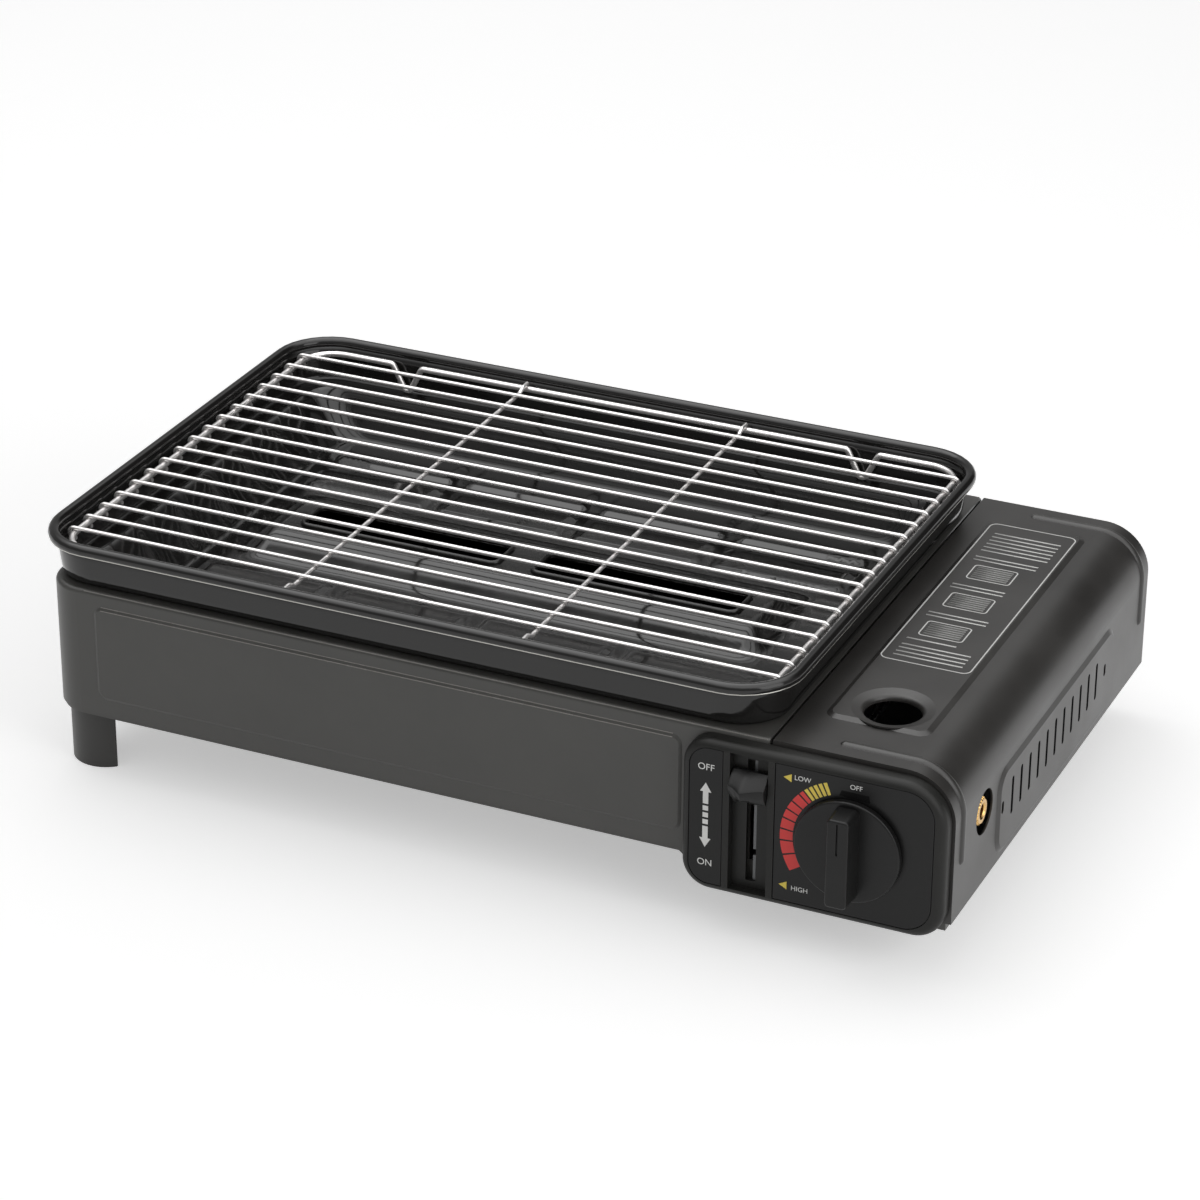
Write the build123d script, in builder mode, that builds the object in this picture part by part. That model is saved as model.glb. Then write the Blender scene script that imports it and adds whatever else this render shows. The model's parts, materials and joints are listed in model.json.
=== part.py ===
from build123d import *
from math import cos, hypot, radians, sin, tan
import os

# Portable butane cassette stove with a drop-in grill pan and a wire grate.
# Millimetres. +X runs from the tub to the cartridge side, +Y from the front to the back, +Z up.
# The origin is on the floor, below the middle of the whole stove.

os.makedirs("parts", exist_ok=True)

# ------------------------------------------------------------------ driving sizes
# Whole stove
body_length = 440.0  # tub's left wall to the lid's right side
body_depth = 264.0  # front wall to back wall
deck_height = 95.0  # floor to the deck that the pan rests on
tub_bottom = 33.0  # floor to the lower edge of the tub's walls
sheet = 1.0  # steel sheet of the body pieces
slip = 0.3  # general gap between separate sheet pieces
touch = 0.02  # gap of a fastener in its hole
running = 0.05  # radial gap of a pin that turns in its hole

# Tub
tub_corner = 18.0
deck_edge_radius = 2.2
emboss_depth = 0.8
emboss_margin = 27.0  # from the left wall to the front wall's embossed panel
emboss_top_drop = 7.0
emboss_bottom_rise = 8.0
emboss_corner = 5.0
emboss_slope = 1.4
emboss_gap = 3.0  # stamped field to the control panel
skirt_radius = 9.0  # hollow corner of the front wall beside the panel
skirt_setback = 8.6  # its centre to the panel's left side
base_lip = 2.0  # how far the base plate shows below the walls
base_flange = 9.0
vent_length = 34.0
vent_width = 5.0
vent_spacing = 13.0
vent_count = 9

# Pan
rim_overhang_left = 6.8
rim_overhang_right = 3.4  # past the lid's left edge
rim_overhang_front = 1.8
rim_overhang_back = 0.8
rim_height = 22.0  # deck to the top of the rolled rim
rim_wire = 5.6
rim_corner = 29.0
pan_sheet = 1.2
wall_inset_top = 3.8
wall_inset_foot = 5.6
ledge_width = 9.0
ledge_width_right = 14.0  # wider above the heat partition
basin_depth = 20.0  # deck to the inside of the basin's floor
floor_corner = 10.0
end_slope_left = 22.0  # run of the basin's walls, seen from above
end_slope_right = 14.0
side_slope = 12.0
basin_gap = 3.0  # between the deck's opening and the basin
hip_height = 9.0
hip_half_depth = 38.0
hip_top_half_depth = 15.5
hip_end_inset = 16.0
hip_top_inset = 27.0
flame_slot_width = 22.0
flame_slot_bridge = 17.0
flame_slot_end = 9.0
lip_width = 1.8
lip_height = 1.6
lip_corner = 6.0
pad_height = 1.2
pad_gap = 8.0
pad_columns = 4
pad_corner = 5.0

# Grate
frame_wire = 3.0
bar_wire = 2.0
bar_count = 17
bar_margin = 14.4  # frame wire's centre to the first bar
grate_inset_left = 12.2  # pan's outside to the frame wire's centre
grate_inset_right = 11.2
grate_inset_side = 9.3
grate_corner = 17.0
grate_height = 14.4  # ledge to the frame wire's centre
foot_dip_spacing = 242.0
foot_dip_half_width = 8.0
foot_dip_base = 1.5
dip_radius = 2.2
cross_wire_spacing = 116.0
cross_wire_shift = 2.4
cross_wire_overlap = 1.0  # past the frame wire's centre
cross_wire_rest = 4.0  # frame wire's centre to the end of the raised part
cross_wire_step = 8.0  # frame wire's centre to the start of the low part
cross_wire_bend = 2.4

# Lid
lid_width = 83.4
lid_sheet = 0.8
lid_shoulder = 22.0
lid_bottom = 25.6
lid_end_gap = 0.4
lid_flange = 3.5
seam_gap = 1.4
hinge_inset = 15.4  # lid's left edge to the hinge pins
hinge_drop = 6.0  # lid's top to the hinge pins
hinge_pin_radius = 2.0
hinge_ear_radius = 4.6
hinge_head = 1.4
pin_tail = 0.02
plateau_height = 1.2
plateau_slope = 2.4
plateau_front = 29.0
plateau_back = 22.0
plateau_left = 11.0
plateau_width = 47.5
plateau_corner = 6.0
finger_hole_radius = 12.5
finger_dish_radius = 18.2
finger_dish_depth = 1.4
finger_lip_depth = 3.6  # lid's crown to the lip's lower edge
finger_lip_bend = 2.2
finger_hole_setback = 46.5
finger_hole_shift = 1.6
bead_radius = 3.0
bead_height = 1.1
bead_setback = 10.0
bead_start = 29.0  # from the lid's left edge
bead_end_height = 52.0
louvre_count = 11
louvre_spacing = 11.5
louvre_length = 18.5
louvre_width = 2.8
louvre_setback = 71.0  # front edge to the first slot
louvre_height = 52.5
louvre_dot_length = 6.0
louvre_dot_gap = 12.5
side_panel_setback = 56.0
side_panel_length = 155.0
side_panel_top = 68.0
side_panel_bottom = 31.0
side_panel_corner = 8.0

# Cartridge bay
bay_floor = 21.5
bay_left_inset = 37.1  # lid's left edge to the bay tray's left flange
bay_right_gap = 4.0  # lid's right side to the tray
bay_wall_setback = 1.5
bay_corner = 18.0
partition_foot = 10.0
bay_side_flange = 9.0
bay_left_flange = 18.0
partition_inset = 15.6  # lid's left edge to the heat partition
cartridge_radius = 34.0
cartridge_length = 186.0
cartridge_side_gap = 7.4  # lid's left edge to the cartridge
cartridge_floor_gap = 2.5
cradle_setbacks = (90.0, 200.0)
cradle_half = 18.0
cradle_sheet = 1.5
cradle_height = 7.0

# Front panel
bezel_reach = 8.0
bezel_bottom = 20.0
bezel_top_drop = 2.2
bezel_right_gap = 2.5
bezel_left_inset = 38.1  # lid's left edge to the bezel's left side
bezel_corner_left = 13.0
bezel_corner_right = 20.0
bezel_corner_low = 14.0
bezel_edge = 4.0
bezel_wall = 2.0
bezel_skin = 3.0
boss_inset = 11.0
boss_radius = 3.5
insert_depth = 1.2
insert_sheet = 1.0
insert_gap = 0.35
arrow_plate_width = 15.6
arrow_plate_inset = 3.6
channel_width = 17.4
channel_gap = 3.0
channel_depth = 4.5
channel_wall = 1.5
lever_slot_margin = 3.6
lever_slot_width = 4.6
lever_offset = 1.1  # the arm runs left of the channel's middle
plate_height_margin = 3.4
plate_side_margin = 4.9
dial_plate_corner = 13.0
strip_half_width = 4.0
strip_sheet = 0.8
strip_notch = 1.5
strip_notch_height = 39.0

# Knob
knob_reach = 23.0  # body front to the grip's front
knob_radius = 23.8
knob_disc = 3.0
knob_clear = 0.5
grip_width = 10.8
grip_length = 43.0
grip_corner = 2.5
valve_drop = 0.4  # panel's middle to the knob's axis
valve_inset = 38.6  # lid's left edge to the knob's axis
stem_radius = 3.0
stem_socket = 10.0
stem_insertion = 6.0
knob_edge = 1.0
grip_taper = 3.0
groove_width = 0.8
groove_length = 15.0
groove_end = 2.0

# Lever
lever_sheet = 1.6
lever_pivot_setback = 48.0
lever_pivot_drop = 0.4  # panel's middle to the pivot
lever_knob_width = 16.4
lever_knob_start = 57.0  # pivot to the knob's near side
lever_knob_depth = 10.5
lever_knob_half = 7.0
lever_knob_lean = 3.0  # how far the lower corner stands back
lever_knob_slope = 6.5  # depth of the sloping upper face
lever_knob_brow = 2.0
lever_knob_edge = 0.9
lever_slot_clearance = 2.0
lever_swing = 36.0
lever_half_width = 4.0
lever_hub_radius = 6.0
lever_pin_radius = 3.0
crank_length = 17.0
crank_pin_radius = 2.0
crank_collar = 1.2
crank_pin_tail = 1.0
slider_sheet = 1.5
slider_height = 10.4
slider_gap = 5.9  # crank to the slider
slider_fit = 0.15
slider_rise = 0.4  # slider's middle above the crank pin
slider_slot_low = 0.5
slider_slot_high = 1.4
slider_overhang = 5.0
guide_half_length = 4.0
guide_setbacks = (110.0, 205.0)
guide_wall = 1.4
tab_reach = 52.0
tab_low = 45.0
tab_gap = 1.5  # tab's top to the swing of the lid's edge
pivot_washer = 2.0
hub_shoulder = 1.0

# Gas train
regulator_width = 42.0
regulator_height = 42.0
regulator_front = 12.0
regulator_back = 47.0
regulator_cap_radius = 16.0
regulator_cap_height = 5.0
regulator_corner = 6.0
regulator_screw_spacing = 30.0
standoff_radius = 5.0
standoff_depth = 6.0
valve_radius = 7.0
valve_reach = 9.0
seat_radius = 13.0
seat_hole_radius = 5.0
seat_height = 3.5
inlet_radius = 6.0
inlet_bore = 4.0
inlet_bore_length = 10.0
inlet_setback = 37.5
inlet_recess = 4.0  # lid's sheet to the fitting's end
inlet_height = 61.0
side_hole_radius = 10.3
pipe_radius = 2.5
pipe_bend = 5.0
pipe_height = 47.0
pipe_setback = 36.0
pipe_gap = 4.4  # lid's left edge to the pipe's axis

# Burner
burner_radius = 11.0
burner_height = 56.0
burner_end_inset = 54.0
burner_mixer_gap = 41.0  # burner's right end to the heat partition
burner_wall = 1.2
mixer_radius = 8.0
mixer_overlap = 12.0
jet_gap = 2.0
jet_radius = 3.0
jet_nut_radius = 4.6
jet_length = 9.0
jet_bracket_half = 12.0
jet_nut_tail = 2.0
port_count = 38
port_width = 1.6
port_depth = 9.0
shield_gap = 6.0
shield_rise = 12.0
reflector_height = 39.0
reflector_half_depth = 70.0
reflector_margin = 10.0
bracket_inset = 26.0
bracket_half = 15.0
electrode_radius = 2.0
electrode_gap = 5.0
electrode_setback = 13.5
electrode_height = 20.0
tip_radius = 0.8
lead_radius = 1.2
lead_bend = 9.0
lead_hole_radius = 2.4
piezo_radius = 6.0
piezo_gap = 9.4  # lid's left edge to the igniter's axis
piezo_length = 28.0
piezo_drop = 29.0  # hinge pins to the igniter's axis
lead_run = 38.0  # straight lead behind the igniter
lead_turn = 14.5  # lead's bend to the electrode
lead_rise = 5.0

# Feet
foot_radius = 16.5
foot_inset = 16.6  # left wall to the half disc's centre
foot_setback = 23.4
foot_edge = 1.0
foot_screw_shift = 4.2  # towards the tub's corner, along each side
foot_web = 9.0
short_foot_radius = 12.0
short_foot_setback = 56.0
short_foot_inset = 42.0
screw_radius = 2.0
screw_head_radius = 3.6
screw_head = 1.6
panel_screw_length = 5.0

# ------------------------------------------------------------------ places that follow from them
left = rim_overhang_left / 2 - body_length / 2
right = left + body_length
front = knob_reach / 2 - (body_depth + rim_overhang_back) / 2
back = front + body_depth
middle = (front + back) / 2

lid_left = right - lid_width
deck_right = lid_left - seam_gap

pan_left = left - rim_overhang_left
pan_right = lid_left + rim_overhang_right
pan_front = front - rim_overhang_front
pan_back = back + rim_overhang_back
rim_top = deck_height + rim_height
rim_z = rim_top - rim_wire / 2
ledge_z = deck_height + pan_sheet
floor_z = deck_height - basin_depth

partition_x = lid_left - partition_inset
bay_left = lid_left - bay_left_inset
bay_right = right - bay_right_gap
bay_front = front + bay_wall_setback
bay_back = back - bay_wall_setback
hinge_x = lid_left + hinge_inset
hinge_z = deck_height - hinge_drop
lid_swing = hypot(hinge_inset, hinge_drop)
lid_right = right - plateau_height
cartridge_x = lid_left + cartridge_side_gap + cartridge_radius
cartridge_z = bay_floor + sheet + cartridge_floor_gap + cartridge_radius
valve_x = lid_left + valve_inset
base_z = tub_bottom - base_lip
bezel_left = lid_left - bezel_left_inset
bezel_right = right - bezel_right_gap
bezel_top = deck_height - bezel_top_drop
panel_y = front - bezel_reach
panel_middle = (bezel_bottom + bezel_top) / 2
valve_height = panel_middle - valve_drop
lever_pivot_height = panel_middle - lever_pivot_drop
piezo_height = hinge_z - piezo_drop
lever_x = bezel_left + arrow_plate_inset + arrow_plate_width + channel_gap + channel_width / 2
arm_x = lever_x - lever_offset
lever_y = front + lever_pivot_setback
lever_tilt = radians(lever_swing / 2)  # the arm points this far above level at rest
lever_slot_half = lever_pivot_setback * tan(lever_tilt) + lever_half_width + lever_slot_clearance
burner_left = left + burner_end_inset
burner_right = partition_x - burner_mixer_gap
burner_span = burner_right - burner_left
burner_y = middle
electrode_x = burner_right + electrode_gap
electrode_y = burner_y - electrode_setback
piezo_x = lid_left + piezo_gap
piezo_end = bay_front + sheet + piezo_length
lead_points = (
    (piezo_x, piezo_end, piezo_height),
    (piezo_x, piezo_end + lead_run, piezo_height),
    (electrode_x, electrode_y - lead_turn, reflector_height + lead_rise),
    (electrode_x, electrode_y - electrode_radius, reflector_height + lead_rise),
)
lead_fraction = (lead_points[1][0] - partition_x) / (lead_points[1][0] - lead_points[2][0])


def rounded(x0, x1, y0, y1, z, radius):
    """Flat rounded rectangle, level at height z, between two corners."""
    with BuildSketch(Plane.XY.offset(z)) as face:
        with Locations(((x0 + x1) / 2, (y0 + y1) / 2)):
            RectangleRounded(x1 - x0, y1 - y0, radius)
    return face.sketch


def left_rounded(x0, x1, y0, y1, z, radius):
    """Level rectangle whose two left corners alone are rounded."""
    with BuildSketch(Plane.XY.offset(z)) as face:
        with Locations(((x0 + x1) / 2, (y0 + y1) / 2)):
            Rectangle(x1 - x0, y1 - y0)
        fillet(face.vertices().group_by(Axis.X)[0], radius)
    return face.sketch


def upright(x0, x1, z0, z1, y, radius):
    """Rounded rectangle that stands in the XZ plane at depth y, facing the front."""
    plane = Plane(origin=(0, y, 0), x_dir=(1, 0, 0), z_dir=(0, -1, 0))
    with BuildSketch(plane) as face:
        with Locations(((x0 + x1) / 2, (z0 + z1) / 2)):
            RectangleRounded(x1 - x0, z1 - z0, radius)
    return face.sketch


def block(x0, x1, y0, y1, z0, z1, mode=Mode.ADD):
    """Box between two corners."""
    with Locations(((x0 + x1) / 2, (y0 + y1) / 2, (z0 + z1) / 2)):
        Box(x1 - x0, y1 - y0, z1 - z0, mode=mode)


def rod(x, y, z, radius, length, direction, mode=Mode.ADD):
    """Cylinder from a point along a direction."""
    with Locations(Plane(origin=(x, y, z), z_dir=direction)):
        Cylinder(radius, length, align=(Align.CENTER, Align.CENTER, Align.MIN), mode=mode)


def save(part, name):
    """Label a finished piece and write it under its own name."""
    part.label = name
    export_step(part, f"parts/{name}.step")


FORWARD = (0, -1, 0)
REARWARD = (0, 1, 0)
RIGHTWARD = (1, 0, 0)
LEFTWARD = (-1, 0, 0)
UPWARD = (0, 0, 1)
DOWNWARD = (0, 0, -1)

# ------------------------------------------------------------------ tub: walls and deck in one drawing
tub_far = deck_right + tub_corner  # the blank's right end, cut off square at the seam
basin_left = pan_left + wall_inset_foot + pan_sheet + ledge_width
basin_right = pan_right - wall_inset_foot - pan_sheet - ledge_width_right
basin_front = pan_front + wall_inset_foot + pan_sheet + ledge_width
basin_back = pan_back - wall_inset_foot - pan_sheet - ledge_width
basin_corner = rim_corner - wall_inset_foot - pan_sheet - ledge_width
opening = pan_sheet + basin_gap
emboss_left = left + emboss_margin
emboss_right = bezel_left - emboss_gap
emboss_low = tub_bottom + emboss_bottom_rise
skirt_x = bezel_left - skirt_setback
skirt_width = skirt_setback + bezel_corner_left / 2
emboss_high = deck_height - emboss_top_drop


def bezel_outline(inset, y):
    """Outline of the front panel, set in from its outside."""
    with BuildSketch(Plane(origin=(0, y, 0), x_dir=(1, 0, 0), z_dir=FORWARD)) as outline:
        with Locations(((bezel_left + bezel_right) / 2, (bezel_bottom + bezel_top) / 2)):
            Rectangle(bezel_right - bezel_left - 2 * inset, bezel_top - bezel_bottom - 2 * inset)
        fillet(outline.vertices().group_by(Axis.X)[0], bezel_corner_left - inset)
        fillet(outline.vertices().group_by(Axis.X)[-1].sort_by(Axis.Y)[0], bezel_corner_low - inset)
        fillet(outline.vertices().group_by(Axis.X)[-1].sort_by(Axis.Y)[-1], bezel_corner_right - inset)
    return outline.sketch


def stamped_pad(y, outward):
    """Raised field of the front or back wall, its foot at depth y."""
    foot = upright(emboss_left, emboss_right, emboss_low, emboss_high, y, emboss_corner)
    crest = upright(
        emboss_left + emboss_slope, emboss_right - emboss_slope, emboss_low + emboss_slope,
        emboss_high - emboss_slope, y + outward * emboss_depth, emboss_corner - emboss_slope,
    )
    return loft([foot, crest], ruled=True, mode=Mode.PRIVATE)


with BuildPart() as body_tub:
    extrude(rounded(left, tub_far, front, back, tub_bottom, tub_corner), deck_height - tub_bottom)
    fillet(body_tub.faces().sort_by(Axis.Z)[-1].edges(), deck_edge_radius)
    extrude(
        rounded(left + sheet, tub_far, front + sheet, back - sheet, tub_bottom, tub_corner - sheet),
        deck_height - sheet - tub_bottom,
        mode=Mode.SUBTRACT,
    )
    block(deck_right, tub_far, front, back, tub_bottom, deck_height, mode=Mode.SUBTRACT)
    # the front wall dips down beside the control panel and is open behind it
    with BuildSketch(Plane(origin=(0, front, 0), x_dir=(1, 0, 0), z_dir=FORWARD)) as skirt:
        with Locations((skirt_x + skirt_width / 2, tub_bottom - skirt_radius / 2 + sheet / 2)):
            Rectangle(skirt_width, skirt_radius + sheet)
        with Locations((skirt_x, tub_bottom - skirt_radius)):
            Circle(skirt_radius, mode=Mode.SUBTRACT)
    extrude(skirt.sketch, -sheet)
    extrude(bezel_outline(bezel_wall + slip, front + sheet), sheet, mode=Mode.SUBTRACT)
    # stamped fields on the front and back walls
    for wall_y, outward in ((front, -1), (back, 1)):
        add(stamped_pad(wall_y, outward))
        add(stamped_pad(wall_y - outward * sheet, outward), mode=Mode.SUBTRACT)
    # opening that the pan's basin drops through
    extrude(
        rounded(
            basin_left - opening,
            basin_right + opening,
            basin_front - opening,
            basin_back + opening,
            deck_height - sheet,
            basin_corner + opening,
        ),
        sheet,
        mode=Mode.SUBTRACT,
    )
save(body_tub.part, "body_tub")

# ------------------------------------------------------------------ base plate under the tub
plate_inset = sheet + touch
tall_foot_x = left + foot_inset
tall_foot_ys = (front + foot_setback, back - foot_setback)
tall_screw_spots = (
    (tall_foot_x - foot_screw_shift, tall_foot_ys[0] - foot_screw_shift),
    (tall_foot_x - foot_screw_shift, tall_foot_ys[1] + foot_screw_shift),
)
short_foot_x = right - short_foot_inset
short_foot_ys = (front + short_foot_setback, back - short_foot_setback)

with BuildPart() as base_plate:
    extrude(
        left_rounded(
            left + plate_inset, bay_left - touch, front + plate_inset, back - plate_inset, base_z,
            tub_corner - plate_inset,
        ),
        base_flange,
    )
    extrude(
        left_rounded(
            left + plate_inset + sheet, bay_left - touch - sheet, front + plate_inset + sheet,
            back - plate_inset - sheet, base_z + sheet, tub_corner - plate_inset - sheet,
        ),
        base_flange,
        mode=Mode.SUBTRACT,
    )
    # air slots below the burner
    with BuildSketch(Plane.XY.offset(base_z)) as vents:
        with Locations((burner_left + burner_span / 2, middle)):
            with GridLocations(burner_span - 2 * vent_length, vent_spacing, 2, vent_count):
                SlotOverall(vent_length, vent_width)
    extrude(vents.sketch, sheet, mode=Mode.SUBTRACT)
    for screw_x, screw_y in tall_screw_spots:
        rod(screw_x, screw_y, base_z, screw_radius + touch, sheet, UPWARD, Mode.SUBTRACT)
save(base_plate.part, "base_plate")

# ------------------------------------------------------------------ tray of the cartridge bay
wall_top = deck_height - sheet - slip
boss_spots = (
    (bezel_left + boss_inset, bezel_bottom + boss_inset),
    (bezel_left + boss_inset, bezel_top - boss_inset),
    (bezel_right - boss_inset, bezel_bottom + boss_inset),
    (bezel_right - boss_inset, bezel_top - boss_inset),
)


def bay_wall(y):
    """Outline of the tray's front or back wall, with the notch that the lid's edge swings through."""
    plane = Plane(origin=(0, y, 0), x_dir=(1, 0, 0), z_dir=FORWARD)
    with BuildSketch(plane) as wall:
        with Locations(((bay_left + bay_right) / 2, (bay_floor + wall_top) / 2)):
            Rectangle(bay_right - bay_left, wall_top - bay_floor)
        corner = wall.vertices().group_by(Axis.X)[-1].sort_by(Axis.Y)[-1]
        fillet(corner, bay_corner)
        with BuildSketch(mode=Mode.SUBTRACT):
            with Locations((hinge_x, hinge_z)):
                Circle(lid_swing + 2 * slip)
            with Locations((hinge_x + lid_swing, hinge_z)):
                Rectangle(2 * lid_swing, 3 * lid_swing, mode=Mode.SUBTRACT)
        with Locations((hinge_x, hinge_z)):
            Circle(hinge_ear_radius)
        with Locations((hinge_x, hinge_z)):
            Circle(hinge_pin_radius + touch, mode=Mode.SUBTRACT)
    return wall.sketch


with BuildPart() as bay_tray:
    block(bay_left, bay_right, bay_front, bay_back, bay_floor, bay_floor + sheet)
    extrude(bay_wall(bay_front + sheet), sheet)
    extrude(bay_wall(bay_back), sheet)
    block(bay_left, bay_left + sheet, bay_front, bay_back, bay_floor, bay_floor + bay_left_flange)
    block(bay_right - sheet, bay_right, bay_front, bay_back, bay_floor, bay_floor + bay_side_flange)
    # front wall: lever slot, valve hole and screw holes
    block(
        arm_x - lever_sheet, arm_x + lever_sheet, bay_front, bay_front + sheet,
        lever_pivot_height - lever_slot_half, lever_pivot_height + lever_slot_half,
        mode=Mode.SUBTRACT,
    )
    rod(valve_x, bay_front, valve_height, stem_radius + 1, sheet, REARWARD, Mode.SUBTRACT)
    for spot_x, spot_z in boss_spots:
        rod(spot_x, bay_front, spot_z, screw_radius + touch, sheet, REARWARD, Mode.SUBTRACT)
    for side in (-1, 1):
        screw_x = valve_x + side * regulator_screw_spacing / 2
        rod(screw_x, bay_front, valve_height, screw_radius + touch, sheet, REARWARD, Mode.SUBTRACT)
    for foot_y in short_foot_ys:
        rod(short_foot_x, foot_y, bay_floor, screw_radius + touch, sheet, UPWARD, Mode.SUBTRACT)
save(bay_tray.part, "bay_tray")

# ------------------------------------------------------------------ heat partition beside the burner
partition_low = bay_floor + sheet
lead_hole_y = lead_points[1][1] + lead_fraction * (lead_points[2][1] - lead_points[1][1])
lead_hole_z = lead_points[1][2] + lead_fraction * (lead_points[2][2] - lead_points[1][2])

with BuildPart() as heat_partition:
    block(
        partition_x, partition_x + sheet, bay_front + sheet + slip, bay_back - sheet - slip,
        partition_low, wall_top,
    )
    block(
        partition_x - partition_foot, partition_x, bay_front + sheet + slip, bay_back - sheet - slip,
        partition_low, partition_low + sheet,
    )
    rod(partition_x, burner_y, burner_height, mixer_radius + slip, sheet, RIGHTWARD, Mode.SUBTRACT)
    rod(partition_x, lead_hole_y, lead_hole_z, lead_hole_radius, sheet, RIGHTWARD, Mode.SUBTRACT)
save(heat_partition.part, "heat_partition")

# ------------------------------------------------------------------ grill pan
floor_left = basin_left + end_slope_left
floor_right = basin_right - end_slope_right
floor_front = basin_front + side_slope
floor_back = basin_back - side_slope
hip_top = floor_z + hip_height
wall_top_inset = wall_inset_top + pan_sheet
wall_foot_inset = wall_inset_foot + pan_sheet


def pan_outline(inset, z):
    """Level outline of the pan, set in from the outside of its rim."""
    return rounded(
        pan_left + inset, pan_right - inset, pan_front + inset, pan_back - inset, z, rim_corner - inset
    )


def basin_outline(grow, z):
    """Top outline of the basin."""
    return rounded(
        basin_left - grow, basin_right + grow, basin_front - grow, basin_back + grow, z, basin_corner + grow
    )


def hip_solid(drop):
    """Flat-topped ridge that carries the flame slots."""
    with BuildPart() as ridge:
        with BuildSketch(Plane.XY.offset(floor_z - drop)) as hip_foot:
            with Locations(((floor_left + floor_right) / 2, burner_y)):
                Rectangle(floor_right - floor_left - 2 * hip_end_inset, 2 * hip_half_depth)
        with BuildSketch(Plane.XY.offset(hip_top - drop)) as hip_crown:
            with Locations(((floor_left + floor_right) / 2, burner_y)):
                Rectangle(floor_right - floor_left - 2 * hip_top_inset, 2 * hip_top_half_depth)
        loft([hip_foot.sketch, hip_crown.sketch])
    return ridge.part


slot_length = (floor_right - floor_left - 2 * hip_top_inset - 2 * flame_slot_end - flame_slot_bridge) / 2
slot_spacing = slot_length + flame_slot_bridge
pad_zone = burner_y - hip_half_depth - floor_front
pad_length = (floor_right - floor_left - (pad_columns + 1) * pad_gap) / pad_columns
pad_width = (pad_zone - 2.5 * pad_gap) / 2

with BuildPart() as pan_cavity:
    loft([pan_outline(wall_foot_inset, ledge_z), pan_outline(wall_top_inset, rim_z)])
    loft([
        rounded(floor_left, floor_right, floor_front, floor_back, floor_z, floor_corner),
        basin_outline(0, ledge_z),
    ])
    add(hip_solid(0), mode=Mode.SUBTRACT)
    # raised pads in two rows on each side of the ridge
    for row_y in (floor_front + pad_gap / 2 + pad_width / 2, floor_back - pad_gap / 2 - pad_width / 2):
        inward = 1 if row_y < burner_y else -1
        for row in range(2):
            with BuildSketch(Plane.XY.offset(floor_z)) as pads:
                with Locations(
                    ((floor_left + floor_right) / 2, row_y + inward * row * (pad_width + pad_gap)),
                ):
                    with GridLocations(pad_length + pad_gap, 1, pad_columns, 1):
                        RectangleRounded(pad_length, pad_width, pad_corner)
            extrude(pads.sketch, pad_height, mode=Mode.SUBTRACT)

with BuildPart() as pan_rim:
    for run in pan_outline(rim_wire / 2, rim_z).faces()[0].outer_wire().edges():
        with BuildSketch(Plane(origin=run @ 0, z_dir=run % 0)):
            Circle(rim_wire / 2)
        sweep(path=run, clean=False)

with BuildPart() as grill_pan:
    loft([pan_outline(wall_inset_foot, deck_height), pan_outline(wall_inset_top, rim_z)])
    loft([
        rounded(
            floor_left - pan_sheet, floor_right + pan_sheet, floor_front - pan_sheet,
            floor_back + pan_sheet,
            floor_z - pan_sheet, floor_corner + pan_sheet,
        ),
        basin_outline(pan_sheet, deck_height),
    ])
    add(pan_cavity.part, mode=Mode.SUBTRACT)
    add(hip_solid(pan_sheet), mode=Mode.SUBTRACT)
    # flame slots with raised lips
    with BuildSketch(Plane.XY.offset(hip_top - pan_sheet)) as lips:
        with Locations(((floor_left + floor_right) / 2, burner_y)):
            with GridLocations(slot_spacing, 1, 2, 1):
                RectangleRounded(slot_length + 2 * lip_width, flame_slot_width + 2 * lip_width, lip_corner)
    extrude(lips.sketch, pan_sheet + lip_height)
    with BuildSketch(Plane.XY.offset(hip_top - pan_sheet)) as slots:
        with Locations(((floor_left + floor_right) / 2, burner_y)):
            with GridLocations(slot_spacing, 1, 2, 1):
                RectangleRounded(slot_length, flame_slot_width, lip_corner - lip_width)
    extrude(slots.sketch, pan_sheet + lip_height, mode=Mode.SUBTRACT)
    add(pan_rim.part)
save(grill_pan.part, "grill_pan")

# ------------------------------------------------------------------ wire grate
grate_z = ledge_z + grate_height
grate_left = pan_left + grate_inset_left
grate_right = pan_right - grate_inset_right
grate_front = pan_front + grate_inset_side
grate_back = pan_back - grate_inset_side
dip_x = (
    (grate_left + grate_right - foot_dip_spacing) / 2, (grate_left + grate_right + foot_dip_spacing) / 2,
)
dip_z = ledge_z + frame_wire / 2
over_z = grate_z + (frame_wire + bar_wire) / 2 + touch
hook = (frame_wire + bar_wire) / 2 + touch
bar_spacing = (grate_back - grate_front - 2 * bar_margin) / (bar_count - 1)


def dip(x, y, towards):
    """Points of one V-shaped foot in a side run of the frame wire."""
    return [
        (x - towards * foot_dip_half_width, y, grate_z),
        (x - towards * foot_dip_base, y, dip_z),
        (x + towards * foot_dip_base, y, dip_z),
        (x + towards * foot_dip_half_width, y, grate_z),
    ]


front_run = [(grate_left, grate_front, grate_z)] + dip(dip_x[0], grate_front, 1) + dip(
    dip_x[1], grate_front, 1,
)
back_run = [(grate_right, grate_back, grate_z)] + dip(dip_x[1], grate_back, -1) + dip(
    dip_x[0], grate_back, -1,
)
run_radii = [grate_corner] + [dip_radius] * 8 + [grate_corner]

middle_x = (grate_left + grate_right) / 2

with BuildPart() as grate_frame:
    with BuildLine() as frame_path:
        FilletPolyline(
            *front_run,
            (grate_right, grate_front, grate_z),
            *back_run,
            (grate_left, grate_back, grate_z),
            radius=run_radii * 2,
            close=True,
        )
    for run in frame_path.edges():
        with BuildSketch(Plane(origin=run @ 0, z_dir=run % 0)):
            Circle(frame_wire / 2)
        sweep(path=run)
save(grate_frame.part, "grate_frame")

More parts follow.
